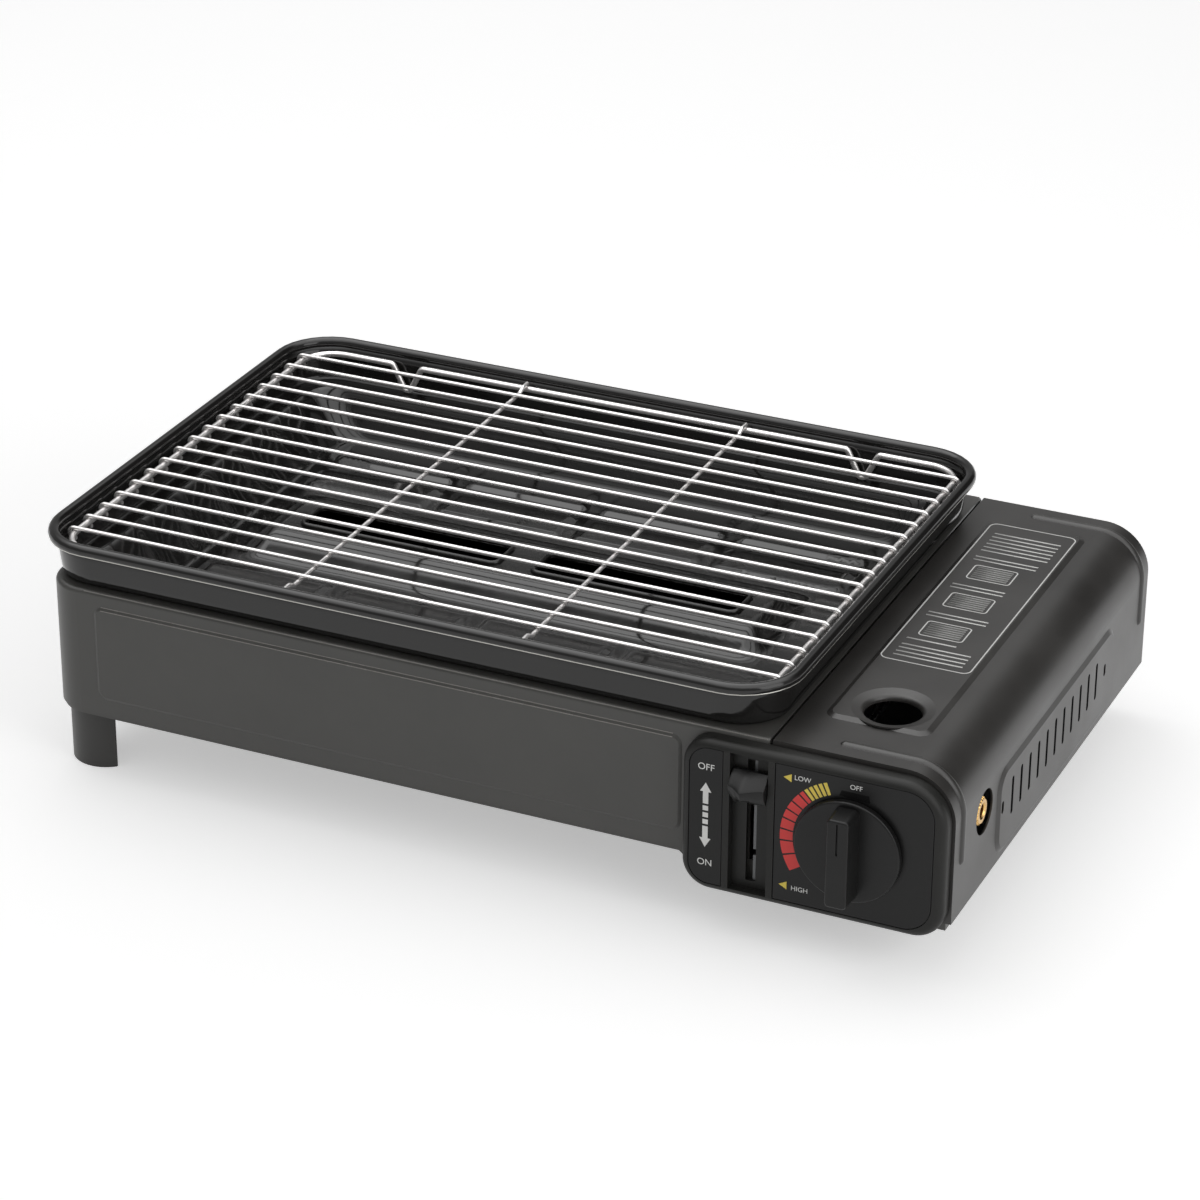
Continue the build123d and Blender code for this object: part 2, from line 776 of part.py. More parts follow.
with BuildPart() as one_bar:
    with BuildLine() as bar_path:
        FilletPolyline(
            (grate_left + 1, 0, grate_z - hook),
            (grate_left - hook, 0, grate_z - hook),
            (grate_left - hook, 0, over_z),
            (grate_right + hook, 0, over_z),
            (grate_right + hook, 0, grate_z - hook),
            (grate_right - 1, 0, grate_z - hook),
            radius=hook - touch,
        )
    with BuildSketch(Plane(origin=(grate_left + 1, 0, grate_z - hook), z_dir=LEFTWARD)):
        Circle(bar_wire / 2)
    sweep()
with BuildPart() as grate_bars:
    with Locations((0, (grate_front + grate_back) / 2, 0)):
        with GridLocations(1, bar_spacing, 1, bar_count):
            add(one_bar.part)
save(grate_bars.part, "grate_bars")

under_z = over_z - bar_wire - touch
with BuildPart() as one_cross_wire:
    with BuildLine() as cross_path:
        FilletPolyline(
            (0, grate_front - cross_wire_overlap, over_z),
            (0, grate_front + cross_wire_rest, over_z),
            (0, grate_front + cross_wire_step, under_z),
            (0, grate_back - cross_wire_step, under_z),
            (0, grate_back - cross_wire_rest, over_z),
            (0, grate_back + cross_wire_overlap, over_z),
            radius=cross_wire_bend,
        )
    with BuildSketch(Plane(origin=(0, grate_front - cross_wire_overlap, over_z), z_dir=REARWARD)):
        Circle(bar_wire / 2)
    sweep()
with BuildPart() as cross_wires:
    with Locations((middle_x + cross_wire_shift, 0, 0)):
        with GridLocations(cross_wire_spacing, 1, 2, 1):
            add(one_cross_wire.part)
save(cross_wires.part, "cross_wires")

# ------------------------------------------------------------------ lid over the cartridge bay
side_panel_front = front + side_panel_setback
side_panel_back = side_panel_front + side_panel_length
louvre_front = front + louvre_setback
louvre_back = louvre_front + (louvre_count - 1) * louvre_spacing
SIDE_PLANE = Plane(origin=(lid_right, 0, 0), x_dir=(0, 1, 0), z_dir=RIGHTWARD)


def lid_profile(inset, y):
    """Cross-section of the lid, set in from its outside, facing the front."""
    plane = Plane(origin=(0, y, 0), x_dir=(1, 0, 0), z_dir=FORWARD)
    with BuildSketch(plane) as section:
        with BuildLine():
            FilletPolyline(
                (lid_left - (1 if inset else 0), deck_height - inset),
                (lid_right - inset, deck_height - inset),
                (lid_right - inset, lid_bottom - (1 if inset else 0)),
                radius=lid_shoulder - inset,
            )
            Line((lid_right - inset, lid_bottom - (1 if inset else 0)), (lid_left, lid_bottom - 1))
            Line((lid_left, lid_bottom - 1), (lid_left - (1 if inset else 0), deck_height - inset))
        make_face()
    return section.sketch


def plateau(drop):
    """Raised field on the lid's top."""
    x0 = lid_left + plateau_left
    y0 = front + plateau_front
    y1 = back - plateau_back
    low = rounded(x0, x0 + plateau_width, y0, y1, deck_height - drop, plateau_corner)
    high = rounded(
        x0 + plateau_slope, x0 + plateau_width - plateau_slope, y0 + plateau_slope, y1 - plateau_slope,
        deck_height + plateau_height - drop, plateau_corner - plateau_slope,
    )
    return loft([low, high], ruled=True, mode=Mode.PRIVATE)


def side_field(drop):
    """Raised field on the lid's side."""
    fields = []
    for grow, rise in ((plateau_slope, 0), (0, plateau_height)):
        with BuildSketch(SIDE_PLANE.offset(rise - drop)) as field:
            with Locations(
                ((side_panel_front + side_panel_back) / 2, (side_panel_top + side_panel_bottom) / 2),
            ):
                RectangleRounded(
                    side_panel_length + 2 * grow, side_panel_top - side_panel_bottom + 2 * grow,
                    side_panel_corner + grow,
                )
        fields.append(field.sketch)
    return loft(fields, ruled=True, mode=Mode.PRIVATE)


def bead(y, radius):
    """Ridge that runs over the lid's shoulder."""
    z = deck_height - bead_radius + bead_height
    x = lid_right - bead_radius + bead_height
    with BuildPart() as ridge:
        with BuildLine() as bead_path:
            FilletPolyline(
                (lid_left + bead_start, y, z), (x, y, z), (x, y, bead_end_height),
                radius=lid_shoulder - bead_radius + bead_height,
            )
        with BuildSketch(Plane(origin=bead_path.line @ 0, z_dir=RIGHTWARD)):
            Circle(radius)
        sweep()
        for end in (bead_path.line @ 0, bead_path.line @ 1):
            with Locations(end):
                Sphere(radius)
    return ridge.part


bead_ys = (front + bead_setback, back - bead_setback)
lid_front = front + lid_end_gap
lid_back = back - lid_end_gap
finger_x = lid_left + plateau_left + plateau_width / 2 + finger_hole_shift
finger_y = front + finger_hole_setback
crown = deck_height + plateau_height
dish_rise = lid_sheet * finger_dish_depth / (finger_dish_radius - finger_hole_radius)

with BuildPart() as lid:
    extrude(lid_profile(0, lid_back), lid_back - lid_front)
    add(plateau(0))
    add(side_field(0))
    for bead_y in bead_ys:
        add(bead(bead_y, bead_radius))
    extrude(
        lid_profile(lid_sheet, lid_back - lid_sheet), lid_back - lid_front - 2 * lid_sheet,
        mode=Mode.SUBTRACT,
    )
    extrude(lid_profile(lid_sheet + lid_flange, lid_back), lid_back - lid_front, mode=Mode.SUBTRACT)
    add(plateau(lid_sheet), mode=Mode.SUBTRACT)
    add(side_field(lid_sheet), mode=Mode.SUBTRACT)
    for bead_y in bead_ys:
        add(bead(bead_y, bead_radius - lid_sheet), mode=Mode.SUBTRACT)
    # finger hole in its dish
    rod(
        finger_x, finger_y, deck_height - 2 * lid_sheet, finger_dish_radius,
        3 * lid_sheet + plateau_height, UPWARD, Mode.SUBTRACT,
    )
    with BuildSketch(Plane(origin=(finger_x, finger_y, 0), x_dir=(1, 0, 0), z_dir=FORWARD)) as dish:
        with BuildLine():
            upper = FilletPolyline(
                (finger_dish_radius, crown),
                (finger_hole_radius, crown - finger_dish_depth),
                (finger_hole_radius, crown - finger_lip_depth),
                radius=finger_lip_bend,
            )
            lower = FilletPolyline(
                (finger_dish_radius, crown - lid_sheet),
                (finger_hole_radius + lid_sheet, crown - lid_sheet - finger_dish_depth + dish_rise),
                (finger_hole_radius + lid_sheet, crown - finger_lip_depth),
                radius=finger_lip_bend - lid_sheet,
            )
            Line(upper @ 0, lower @ 0)
            Line(upper @ 1, lower @ 1)
        make_face()
    revolve(dish.sketch, Axis((finger_x, finger_y, 0), UPWARD))
    # gas inlet hole and louvres in the side
    rod(lid_right - 2, front + inlet_setback, inlet_height, side_hole_radius, 4, RIGHTWARD, Mode.SUBTRACT)
    with BuildSketch(SIDE_PLANE.offset(-2)) as louvres:
        with Locations(((louvre_front + louvre_back) / 2, louvre_height)):
            with GridLocations(louvre_spacing, 1, louvre_count, 1):
                SlotOverall(louvre_length, louvre_width, rotation=90)
        with Locations(
            (louvre_front - louvre_dot_gap, louvre_height), (louvre_back + louvre_dot_gap, louvre_height),
        ):
            SlotOverall(louvre_dot_length, louvre_width, rotation=90)
    extrude(louvres.sketch, 5, mode=Mode.SUBTRACT)
    # hinge ears in both end flanges
    for ear_y in (lid_front, lid_back - lid_sheet):
        rod(hinge_x, ear_y, hinge_z, hinge_ear_radius, lid_sheet, REARWARD)
        block(
            hinge_x - hinge_ear_radius, hinge_x + hinge_ear_radius, ear_y, ear_y + lid_sheet,
            hinge_z, deck_height - lid_sheet,
        )
        rod(hinge_x, ear_y, hinge_z, hinge_pin_radius + running, lid_sheet, REARWARD, Mode.SUBTRACT)
save(lid.part, "lid")

pin_length = bay_wall_setback + sheet - lid_end_gap + pin_tail
with BuildPart() as hinge_pins:
    for pin_y, inward in ((lid_front, REARWARD), (lid_back, FORWARD)):
        rod(hinge_x, pin_y, hinge_z, hinge_pin_radius, pin_length + hinge_head, inward)
        head_y = pin_y + inward[1] * pin_length
        rod(hinge_x, head_y, hinge_z, screw_head_radius, hinge_head, inward)
save(hinge_pins.part, "hinge_pins")

# ------------------------------------------------------------------ front panel
channel_left = lever_x - channel_width / 2
channel_right = lever_x + channel_width / 2
plate_low = bezel_bottom + plate_height_margin
plate_high = bezel_top - plate_height_margin
dial_left = channel_right + channel_gap
dial_right = bezel_right - plate_side_margin
skin_y = panel_y + bezel_skin
panel_bore = stem_radius + 1


def dial_outline(inset, y):
    """Outline of the dial plate and its pocket."""
    with BuildSketch(Plane(origin=(0, y, 0), x_dir=(1, 0, 0), z_dir=FORWARD)) as outline:
        with Locations(((dial_left + dial_right) / 2, (plate_low + plate_high) / 2)):
            Rectangle(dial_right - dial_left - 2 * inset, plate_high - plate_low - 2 * inset)
        fillet(outline.vertices().group_by(Axis.X)[-1], dial_plate_corner - inset)
    return outline.sketch


def arrow_outline(inset, y):
    """Outline of the arrow plate and its pocket."""
    x0 = bezel_left + arrow_plate_inset
    with BuildSketch(Plane(origin=(0, y, 0), x_dir=(1, 0, 0), z_dir=FORWARD)) as outline:
        with Locations((x0 + arrow_plate_width / 2, (plate_low + plate_high) / 2)):
            Rectangle(arrow_plate_width - 2 * inset, plate_high - plate_low - 2 * inset)
        fillet(outline.vertices().group_by(Axis.X)[0], bezel_corner_left - arrow_plate_inset - inset)
    return outline.sketch


with BuildPart() as control_panel:
    extrude(bezel_outline(0, front), bezel_reach)
    fillet(control_panel.faces().sort_by(Axis.Y)[0].edges(), bezel_edge)
    extrude(bezel_outline(bezel_wall, front), bezel_reach - bezel_skin, mode=Mode.SUBTRACT)
    block(
        channel_left - channel_wall, channel_right + channel_wall,
        skin_y, panel_y + channel_depth + channel_wall,
        plate_low - channel_wall, plate_high + channel_wall,
    )
    block(
        channel_left, channel_right, panel_y, panel_y + channel_depth,
        plate_low, plate_high, mode=Mode.SUBTRACT,
    )
    block(
        lever_x - lever_slot_width / 2, lever_x + lever_slot_width / 2,
        panel_y, front, plate_low + lever_slot_margin, plate_high - lever_slot_margin, mode=Mode.SUBTRACT,
    )
    extrude(dial_outline(0, panel_y + insert_depth), insert_depth, mode=Mode.SUBTRACT)
    extrude(arrow_outline(0, panel_y + insert_depth), insert_depth, mode=Mode.SUBTRACT)
    for spot_x, spot_z in boss_spots:
        rod(spot_x, skin_y, spot_z, boss_radius, bay_front - skin_y, REARWARD)
        rod(
            spot_x, skin_y + 1, spot_z, screw_radius + touch, bay_front - skin_y - 1,
            REARWARD, Mode.SUBTRACT,
        )
    rod(valve_x, panel_y, valve_height, panel_bore, bezel_reach, REARWARD, Mode.SUBTRACT)
save(control_panel.part, "control_panel")

with BuildPart() as arrow_plate:
    extrude(arrow_outline(insert_gap, panel_y + insert_depth), insert_sheet)
save(arrow_plate.part, "arrow_plate")

with BuildPart() as dial_plate:
    extrude(dial_outline(insert_gap, panel_y + insert_depth), insert_sheet)
    rod(valve_x, panel_y, valve_height, panel_bore, insert_depth, REARWARD, Mode.SUBTRACT)
save(dial_plate.part, "dial_plate")

# strip that half closes the lever's slot, with a notch that marks the locked place
strip_y = panel_y + channel_depth + channel_wall
with BuildPart() as slot_strip:
    block(
        arm_x + lever_sheet, lever_x + strip_half_width, strip_y, strip_y + strip_sheet,
        plate_low + lever_slot_margin / 2, plate_high - lever_slot_margin / 2,
    )
    block(
        arm_x + lever_sheet, arm_x + lever_sheet + strip_notch, strip_y, strip_y + strip_sheet,
        strip_notch_height, strip_notch_height + 2 * strip_notch, mode=Mode.SUBTRACT,
    )
save(slot_strip.part, "slot_strip")

# ------------------------------------------------------------------ control knob and its stem
disc_y = panel_y - knob_clear
knob_front = front - knob_reach
stem_in = front + regulator_front - valve_reach + stem_insertion
with BuildPart() as knob:
    rod(valve_x, disc_y, valve_height, knob_radius, knob_disc, FORWARD)
    fillet(knob.faces().sort_by(Axis.Y)[0].edges(), knob_edge)
    with BuildSketch(Plane(origin=(0, disc_y - knob_disc, 0), x_dir=(1, 0, 0), z_dir=FORWARD)) as grip:
        with Locations((valve_x, valve_height)):
            RectangleRounded(grip_width, grip_length, grip_corner)
    extrude(grip.sketch, disc_y - knob_disc - knob_front, taper=grip_taper)
    fillet(knob.faces().sort_by(Axis.Y)[0].edges(), knob_edge)
    rod(valve_x, disc_y, valve_height, stem_radius + touch, stem_socket, FORWARD, Mode.SUBTRACT)
    # pointer groove along the grip's upper half
    block(
        valve_x - groove_width / 2, valve_x + groove_width / 2, knob_front, knob_front + groove_width,
        valve_height + grip_length / 2 - groove_end - groove_length,
        valve_height + grip_length / 2 - groove_end,
        mode=Mode.SUBTRACT,
    )
save(knob.part, "knob")

with BuildPart() as valve_stem:
    rod(valve_x, stem_in, valve_height, stem_radius, stem_in - disc_y + stem_socket, FORWARD)
save(valve_stem.part, "valve_stem")

# ------------------------------------------------------------------ lock lever
ARM_PLANE = Plane(
    origin=(arm_x + lever_sheet / 2, lever_y, lever_pivot_height),
    x_dir=(0, -cos(lever_tilt), sin(lever_tilt)),
    z_dir=LEFTWARD,
)
CRANK_SPOT = ARM_PLANE.from_local_coords((0, crank_length, 0))

with BuildPart() as lock_lever:
    with BuildSketch(ARM_PLANE) as arm:
        Circle(lever_hub_radius)
        with Locations((lever_knob_start / 2, 0)):
            Rectangle(lever_knob_start + lever_half_width * 2, 2 * lever_half_width)
        with Locations((0, crank_length / 2)):
            Rectangle(2 * lever_half_width, crank_length)
        with Locations((0, crank_length)):
            Circle(lever_half_width)
            Circle(crank_pin_radius + touch, mode=Mode.SUBTRACT)
        Circle(lever_pin_radius + running, mode=Mode.SUBTRACT)
    extrude(arm.sketch, lever_sheet)
save(lock_lever.part, "lock_lever")

with BuildPart() as lever_knob:
    with BuildSketch(ARM_PLANE.offset(lever_sheet / 2 - lever_offset - lever_knob_width / 2)) as wedge:
        with BuildLine():
            Polyline(
                (lever_knob_start, -lever_knob_half),
                (lever_knob_start + lever_knob_depth - lever_knob_lean, -lever_knob_half),
                (lever_knob_start + lever_knob_depth, 0),
                (lever_knob_start + lever_knob_depth - lever_knob_brow / 2, lever_knob_brow),
                (lever_knob_start + lever_knob_depth - lever_knob_slope, lever_knob_half),
                (lever_knob_start, lever_knob_half),
                close=True,
            )
        make_face()
        fillet(wedge.vertices(), lever_knob_edge)
    extrude(wedge.sketch, lever_knob_width)
    with BuildSketch(ARM_PLANE.offset(-touch)) as socket:
        with Locations((lever_knob_start / 2 + touch, 0)):
            Rectangle(lever_knob_start + lever_half_width * 2, 2 * (lever_half_width + touch))
    extrude(socket.sketch, lever_sheet + 2 * touch, mode=Mode.SUBTRACT)
save(lever_knob.part, "lever_knob")

crank_x = arm_x + lever_sheet / 2
slider_x = crank_x + slider_gap
with BuildPart() as crank_pin:
    rod(
        crank_x - lever_sheet, CRANK_SPOT.Y, CRANK_SPOT.Z, crank_pin_radius,
        slider_x + slider_sheet + crank_pin_tail - crank_x + lever_sheet, RIGHTWARD,
    )
    rod(
        crank_x + touch, CRANK_SPOT.Y, CRANK_SPOT.Z, crank_pin_radius + crank_collar,
        slider_gap - slip - touch, RIGHTWARD,
    )
save(crank_pin.part, "crank_pin")

with BuildPart() as lever_pivot_pin:
    rod(
        partition_x + sheet, lever_y, lever_pivot_height, lever_pin_radius,
        crank_x + pivot_washer - partition_x - sheet, RIGHTWARD,
    )
    rod(
        partition_x + sheet, lever_y, lever_pivot_height, lever_hub_radius - hub_shoulder,
        crank_x - lever_sheet - slip - partition_x - sheet, RIGHTWARD,
    )
    rod(
        crank_x + slip, lever_y, lever_pivot_height, lever_hub_radius - hub_shoulder,
        pivot_washer, RIGHTWARD,
    )
save(lever_pivot_pin.part, "lever_pivot_pin")

# ------------------------------------------------------------------ slider that pushes the cartridge
slider_low = CRANK_SPOT.Z - slider_height / 2 + slider_rise
slider_high = slider_low + slider_height
tab_top = hinge_z - lid_swing - tab_gap
slider_front = CRANK_SPOT.Y - 2 * crank_length * sin(lever_tilt) - slider_overhang
slider_back = front + regulator_back + seat_height + cartridge_length + 2 * crank_length * sin(lever_tilt)
with BuildPart() as cartridge_slider:
    block(
        slider_x, slider_x + slider_sheet, slider_front, slider_back + slider_sheet,
        slider_low, slider_high,
    )
    block(
        slider_x, slider_x + slider_sheet,
        CRANK_SPOT.Y - crank_pin_radius - slider_fit, CRANK_SPOT.Y + crank_pin_radius + slider_fit,
        CRANK_SPOT.Z - crank_pin_radius - slider_slot_low,
        CRANK_SPOT.Z + crank_pin_radius + slider_slot_high,
        mode=Mode.SUBTRACT,
    )
    # tab behind the cartridge, low enough for the lid's edge to swing over it
    block(slider_x, slider_x + tab_reach, slider_back, slider_back + slider_sheet, tab_low, tab_top)
save(cartridge_slider.part, "cartridge_slider")

with BuildPart() as slider_guides:
    for setback in guide_setbacks:
        guide_y = front + setback
        block(
            partition_x + sheet, slider_x + slider_sheet + slip + guide_wall,
            guide_y - guide_half_length, guide_y + guide_half_length,
            slider_low - slip - guide_wall, slider_high + slip + guide_wall,
        )
        block(
            slider_x - slip, slider_x + slider_sheet + slip,
            guide_y - guide_half_length, guide_y + guide_half_length,
            slider_low - slip, slider_high + slip, mode=Mode.SUBTRACT,
        )
save(slider_guides.part, "slider_guides")

# ------------------------------------------------------------------ regulator, valve and gas inlet
regulator_left = valve_x - regulator_width / 2
regulator_right = valve_x + regulator_width / 2
regulator_face = front + regulator_front
regulator_rear = front + regulator_back
regulator_low = valve_height - regulator_height / 2
with BuildPart() as regulator_body:
    extrude(
        upright(
            regulator_left, regulator_right, regulator_low,
            regulator_low + regulator_height, regulator_rear,
            regulator_corner,
        ),
        regulator_rear - regulator_face,
    )
    for side in (-1, 1):
        screw_x = valve_x + side * regulator_screw_spacing / 2
        rod(
            screw_x, bay_front + sheet, valve_height, standoff_radius,
            regulator_face - bay_front - sheet, REARWARD,
        )
        rod(screw_x, bay_front, valve_height, screw_radius + touch, standoff_depth, REARWARD, Mode.SUBTRACT)
save(regulator_body.part, "regulator_body")

with BuildPart() as regulator_cap:
    cap_y = (regulator_face + regulator_rear) / 2
    rod(valve_x, cap_y, regulator_low, regulator_cap_radius, regulator_cap_height, DOWNWARD)
    fillet(regulator_cap.faces().sort_by(Axis.Z)[0].edges(), 1)
save(regulator_cap.part, "regulator_cap")

with BuildPart() as cartridge_seat:
    rod(cartridge_x, regulator_rear, cartridge_z, seat_radius, seat_height, REARWARD)
    rod(cartridge_x, regulator_rear, cartridge_z, seat_hole_radius, seat_height, REARWARD, Mode.SUBTRACT)
    # notch that lets the cartridge in one way up only
    block(
        cartridge_x - 2, cartridge_x + 2, regulator_rear, regulator_rear + seat_height,
        cartridge_z, cartridge_z + 2 * seat_radius, mode=Mode.SUBTRACT,
    )
save(cartridge_seat.part, "cartridge_seat")

with BuildPart() as gas_inlet:
    inlet_end = lid_right - lid_sheet - inlet_recess
    rod(
        regulator_right, front + inlet_setback, inlet_height, inlet_radius,
        inlet_end - regulator_right, RIGHTWARD,
    )
    rod(regulator_right, front + inlet_setback, inlet_height, inlet_radius + 2, 3, RIGHTWARD)
    rod(
        inlet_end, front + inlet_setback, inlet_height, inlet_bore,
        inlet_bore_length, LEFTWARD, Mode.SUBTRACT,
    )
save(gas_inlet.part, "gas_inlet")

with BuildPart() as valve_body:
    rod(valve_x, regulator_face, valve_height, valve_radius, valve_reach - slip, FORWARD)
    rod(
        valve_x, regulator_face - valve_reach, valve_height, stem_radius + running, stem_insertion + slip,
        REARWARD, Mode.SUBTRACT,
    )
save(valve_body.part, "valve_body")

pipe_x = lid_left + pipe_gap
jet_back = partition_x + sheet + jet_gap + jet_length + jet_nut_tail
with BuildPart() as gas_pipe:
    with BuildLine() as pipe_path:
        FilletPolyline(
            (regulator_left, front + pipe_setback, pipe_height),
            (pipe_x, front + pipe_setback, pipe_height),
            (pipe_x, burner_y, burner_height),
            (jet_back, burner_y, burner_height),
            radius=pipe_bend,
        )
    with BuildSketch(Plane(origin=pipe_path.line @ 0, z_dir=LEFTWARD)):
        Circle(pipe_radius)
    sweep()
save(gas_pipe.part, "gas_pipe")

# ------------------------------------------------------------------ burner
bracket_x = jet_back - jet_length / 2 - 1
with BuildPart() as gas_jet:
    rod(jet_back, burner_y, burner_height, jet_nut_radius, jet_back - bracket_x - sheet, LEFTWARD)
    rod(jet_back, burner_y, burner_height, jet_radius, jet_length, LEFTWARD)
save(gas_jet.part, "gas_jet")

with BuildPart() as jet_bracket:
    block(
        partition_x + sheet, bracket_x + sheet, burner_y - jet_bracket_half, burner_y + jet_bracket_half,
        burner_height - mixer_radius, burner_height + mixer_radius,
    )
    block(
        partition_x + sheet, bracket_x, burner_y - jet_bracket_half + sheet,
        burner_y + jet_bracket_half - sheet,
        burner_height - mixer_radius, burner_height + mixer_radius, mode=Mode.SUBTRACT,
    )
    rod(bracket_x, burner_y, burner_height, jet_radius + touch, sheet, RIGHTWARD, Mode.SUBTRACT)
save(jet_bracket.part, "jet_bracket")

with BuildPart() as mixing_tube:
    mixer_left = burner_right - mixer_overlap
    mixer_right = partition_x + sheet + touch
    rod(mixer_left, burner_y, burner_height, mixer_radius, mixer_right - mixer_left, RIGHTWARD)
    rod(
        mixer_left, burner_y, burner_height, mixer_radius - sheet,
        mixer_right - mixer_left, RIGHTWARD, Mode.SUBTRACT,
    )
save(mixing_tube.part, "mixing_tube")

with BuildPart() as burner_tube:
    rod(burner_left, burner_y, burner_height, burner_radius, burner_span, RIGHTWARD)
    rod(
        burner_left + burner_wall, burner_y, burner_height, burner_radius - burner_wall,
        burner_span - 2 * burner_wall, RIGHTWARD, Mode.SUBTRACT,
    )
    rod(burner_right, burner_y, burner_height, mixer_radius + touch, burner_wall, LEFTWARD, Mode.SUBTRACT)
    # flame ports across the crown
    with BuildSketch(Plane.XY.offset(burner_height + burner_radius / 2)) as ports:
        with Locations(((burner_left + burner_right) / 2, burner_y)):
            with GridLocations((burner_span - 2 * port_depth) / (port_count - 1), 1, port_count, 1):
                Rectangle(port_width, port_depth)
    extrude(ports.sketch, burner_radius, mode=Mode.SUBTRACT)
save(burner_tube.part, "burner_tube")

plate_top = reflector_height + sheet
with BuildPart() as heat_reflector:
    x0 = burner_left - reflector_margin
    x1 = burner_right + reflector_margin
    block(
        x0, x1, burner_y - reflector_half_depth, burner_y + reflector_half_depth, base_z + sheet, plate_top,
    )
    block(
        x0 + sheet, x1 - sheet, burner_y - reflector_half_depth + sheet,
        burner_y + reflector_half_depth - sheet,
        base_z + sheet, reflector_height, mode=Mode.SUBTRACT,
    )
save(heat_reflector.part, "heat_reflector")

with BuildPart() as burner_brackets:
    for x in (burner_left + bracket_inset, burner_right - bracket_inset):
        block(x, x + sheet, burner_y - bracket_half, burner_y + bracket_half, plate_top, burner_height)
        block(
            x, x + reflector_margin, burner_y - bracket_half, burner_y + bracket_half,
            plate_top, plate_top + sheet,
        )
        rod(x, burner_y, burner_height, burner_radius + touch, sheet, RIGHTWARD, Mode.SUBTRACT)
save(burner_brackets.part, "burner_brackets")

with BuildPart() as flame_shields:
    for side in (-1, 1):
        near = burner_y + side * (burner_radius + shield_gap)
        far = near + side * sheet
        foot = near + side * reflector_margin
        block(
            burner_left, burner_right, min(near, far), max(near, far),
            plate_top, burner_height + shield_rise,
        )
        block(burner_left, burner_right, min(near, foot), max(near, foot), plate_top, plate_top + sheet)
save(flame_shields.part, "flame_shields")

# ------------------------------------------------------------------ ignition
electrode_top = plate_top + electrode_height
with BuildPart() as spark_electrode:
    rod(electrode_x, electrode_y, plate_top, electrode_radius, electrode_height, UPWARD)
save(spark_electrode.part, "spark_electrode")

with BuildPart() as electrode_tip:
    rod(electrode_x, electrode_y, electrode_top, tip_radius, electrode_gap, UPWARD)
save(electrode_tip.part, "electrode_tip")

with BuildPart() as piezo_igniter:
    rod(piezo_x, bay_front + sheet, piezo_height, piezo_radius, piezo_length, REARWARD)
save(piezo_igniter.part, "piezo_igniter")

with BuildPart() as ignition_lead:
    with BuildLine() as lead_path:
        FilletPolyline(*lead_points, radius=[lead_bend, lead_bend])
    with BuildSketch(Plane(origin=lead_points[0], z_dir=REARWARD)):
        Circle(lead_radius)
    sweep()
save(ignition_lead.part, "ignition_lead")

# ------------------------------------------------------------------ cartridge cradle
with BuildPart() as cartridge_cradle:
    for setback in cradle_setbacks:
        y = front + setback
        block(
            cartridge_x - cradle_half, cartridge_x + cradle_half, y, y + cradle_sheet,
            bay_floor + sheet, bay_floor + sheet + cradle_height,
        )
        rod(cartridge_x, y, cartridge_z, cartridge_radius, cradle_sheet, REARWARD, Mode.SUBTRACT)
save(cartridge_cradle.part, "cartridge_cradle")

# ------------------------------------------------------------------ feet
half_width = foot_radius * sin(radians(45))  # from the half disc's middle to the middle of what is cut away
with BuildPart() as tall_feet:
    for foot_y, inward in zip(tall_foot_ys, (1, -1)):
        with BuildSketch() as sole:
            with Locations((tall_foot_x, foot_y)):
                Circle(foot_radius)
            with Locations((tall_foot_x + half_width, foot_y + inward * half_width)):
                Rectangle(2 * foot_radius, 2 * foot_radius, rotation=45, mode=Mode.SUBTRACT)
            fillet(sole.vertices(), foot_edge)
        extrude(sole.sketch, base_z)
    for screw_x, screw_y in tall_screw_spots:
        rod(screw_x, screw_y, 0, screw_head_radius + 1, base_z - foot_web, UPWARD, Mode.SUBTRACT)
        rod(screw_x, screw_y, 0, screw_radius + touch, base_z, UPWARD, Mode.SUBTRACT)
save(tall_feet.part, "tall_feet")

with BuildPart() as short_feet:
    for foot_y in short_foot_ys:
        rod(short_foot_x, foot_y, 0, short_foot_radius, bay_floor, UPWARD)
        rod(short_foot_x, foot_y, 0, screw_head_radius + 1, bay_floor - foot_web, UPWARD, Mode.SUBTRACT)
        rod(short_foot_x, foot_y, 0, screw_radius + touch, bay_floor, UPWARD, Mode.SUBTRACT)
save(short_feet.part, "short_feet")


def screw(x, y, z, length, direction):
    """Pan-head screw: the head's underside at a point, the shank along a direction."""
    away = tuple(-part for part in direction)
    rod(x, y, z, screw_radius, length, direction)
    rod(x, y, z, screw_head_radius, screw_head, away)


# ------------------------------------------------------------------ screws
with BuildPart() as tall_foot_screws:
    for screw_x, screw_y in tall_screw_spots:
        screw(screw_x, screw_y, base_z - foot_web, foot_web + sheet, UPWARD)
save(tall_foot_screws.part, "tall_foot_screws")

with BuildPart() as short_foot_screws:
    for foot_y in short_foot_ys:
        screw(short_foot_x, foot_y, bay_floor - foot_web, foot_web + sheet, UPWARD)
save(short_foot_screws.part, "short_foot_screws")

with BuildPart() as panel_screws:
    for spot_x, spot_z in boss_spots:
        screw(spot_x, bay_front + sheet, spot_z, panel_screw_length, FORWARD)
save(panel_screws.part, "panel_screws")

with BuildPart() as regulator_screws:
    for side in (-1, 1):
        screw(
            valve_x + side * regulator_screw_spacing / 2, bay_front, valve_height, standoff_depth, REARWARD,
        )
save(regulator_screws.part, "regulator_screws")
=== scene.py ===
import json
import math
from collections import namedtuple

import bmesh
import bpy
import numpy as np
from bpy.props import FloatProperty, FloatVectorProperty, IntProperty, PointerProperty
from mathutils import Matrix, Vector


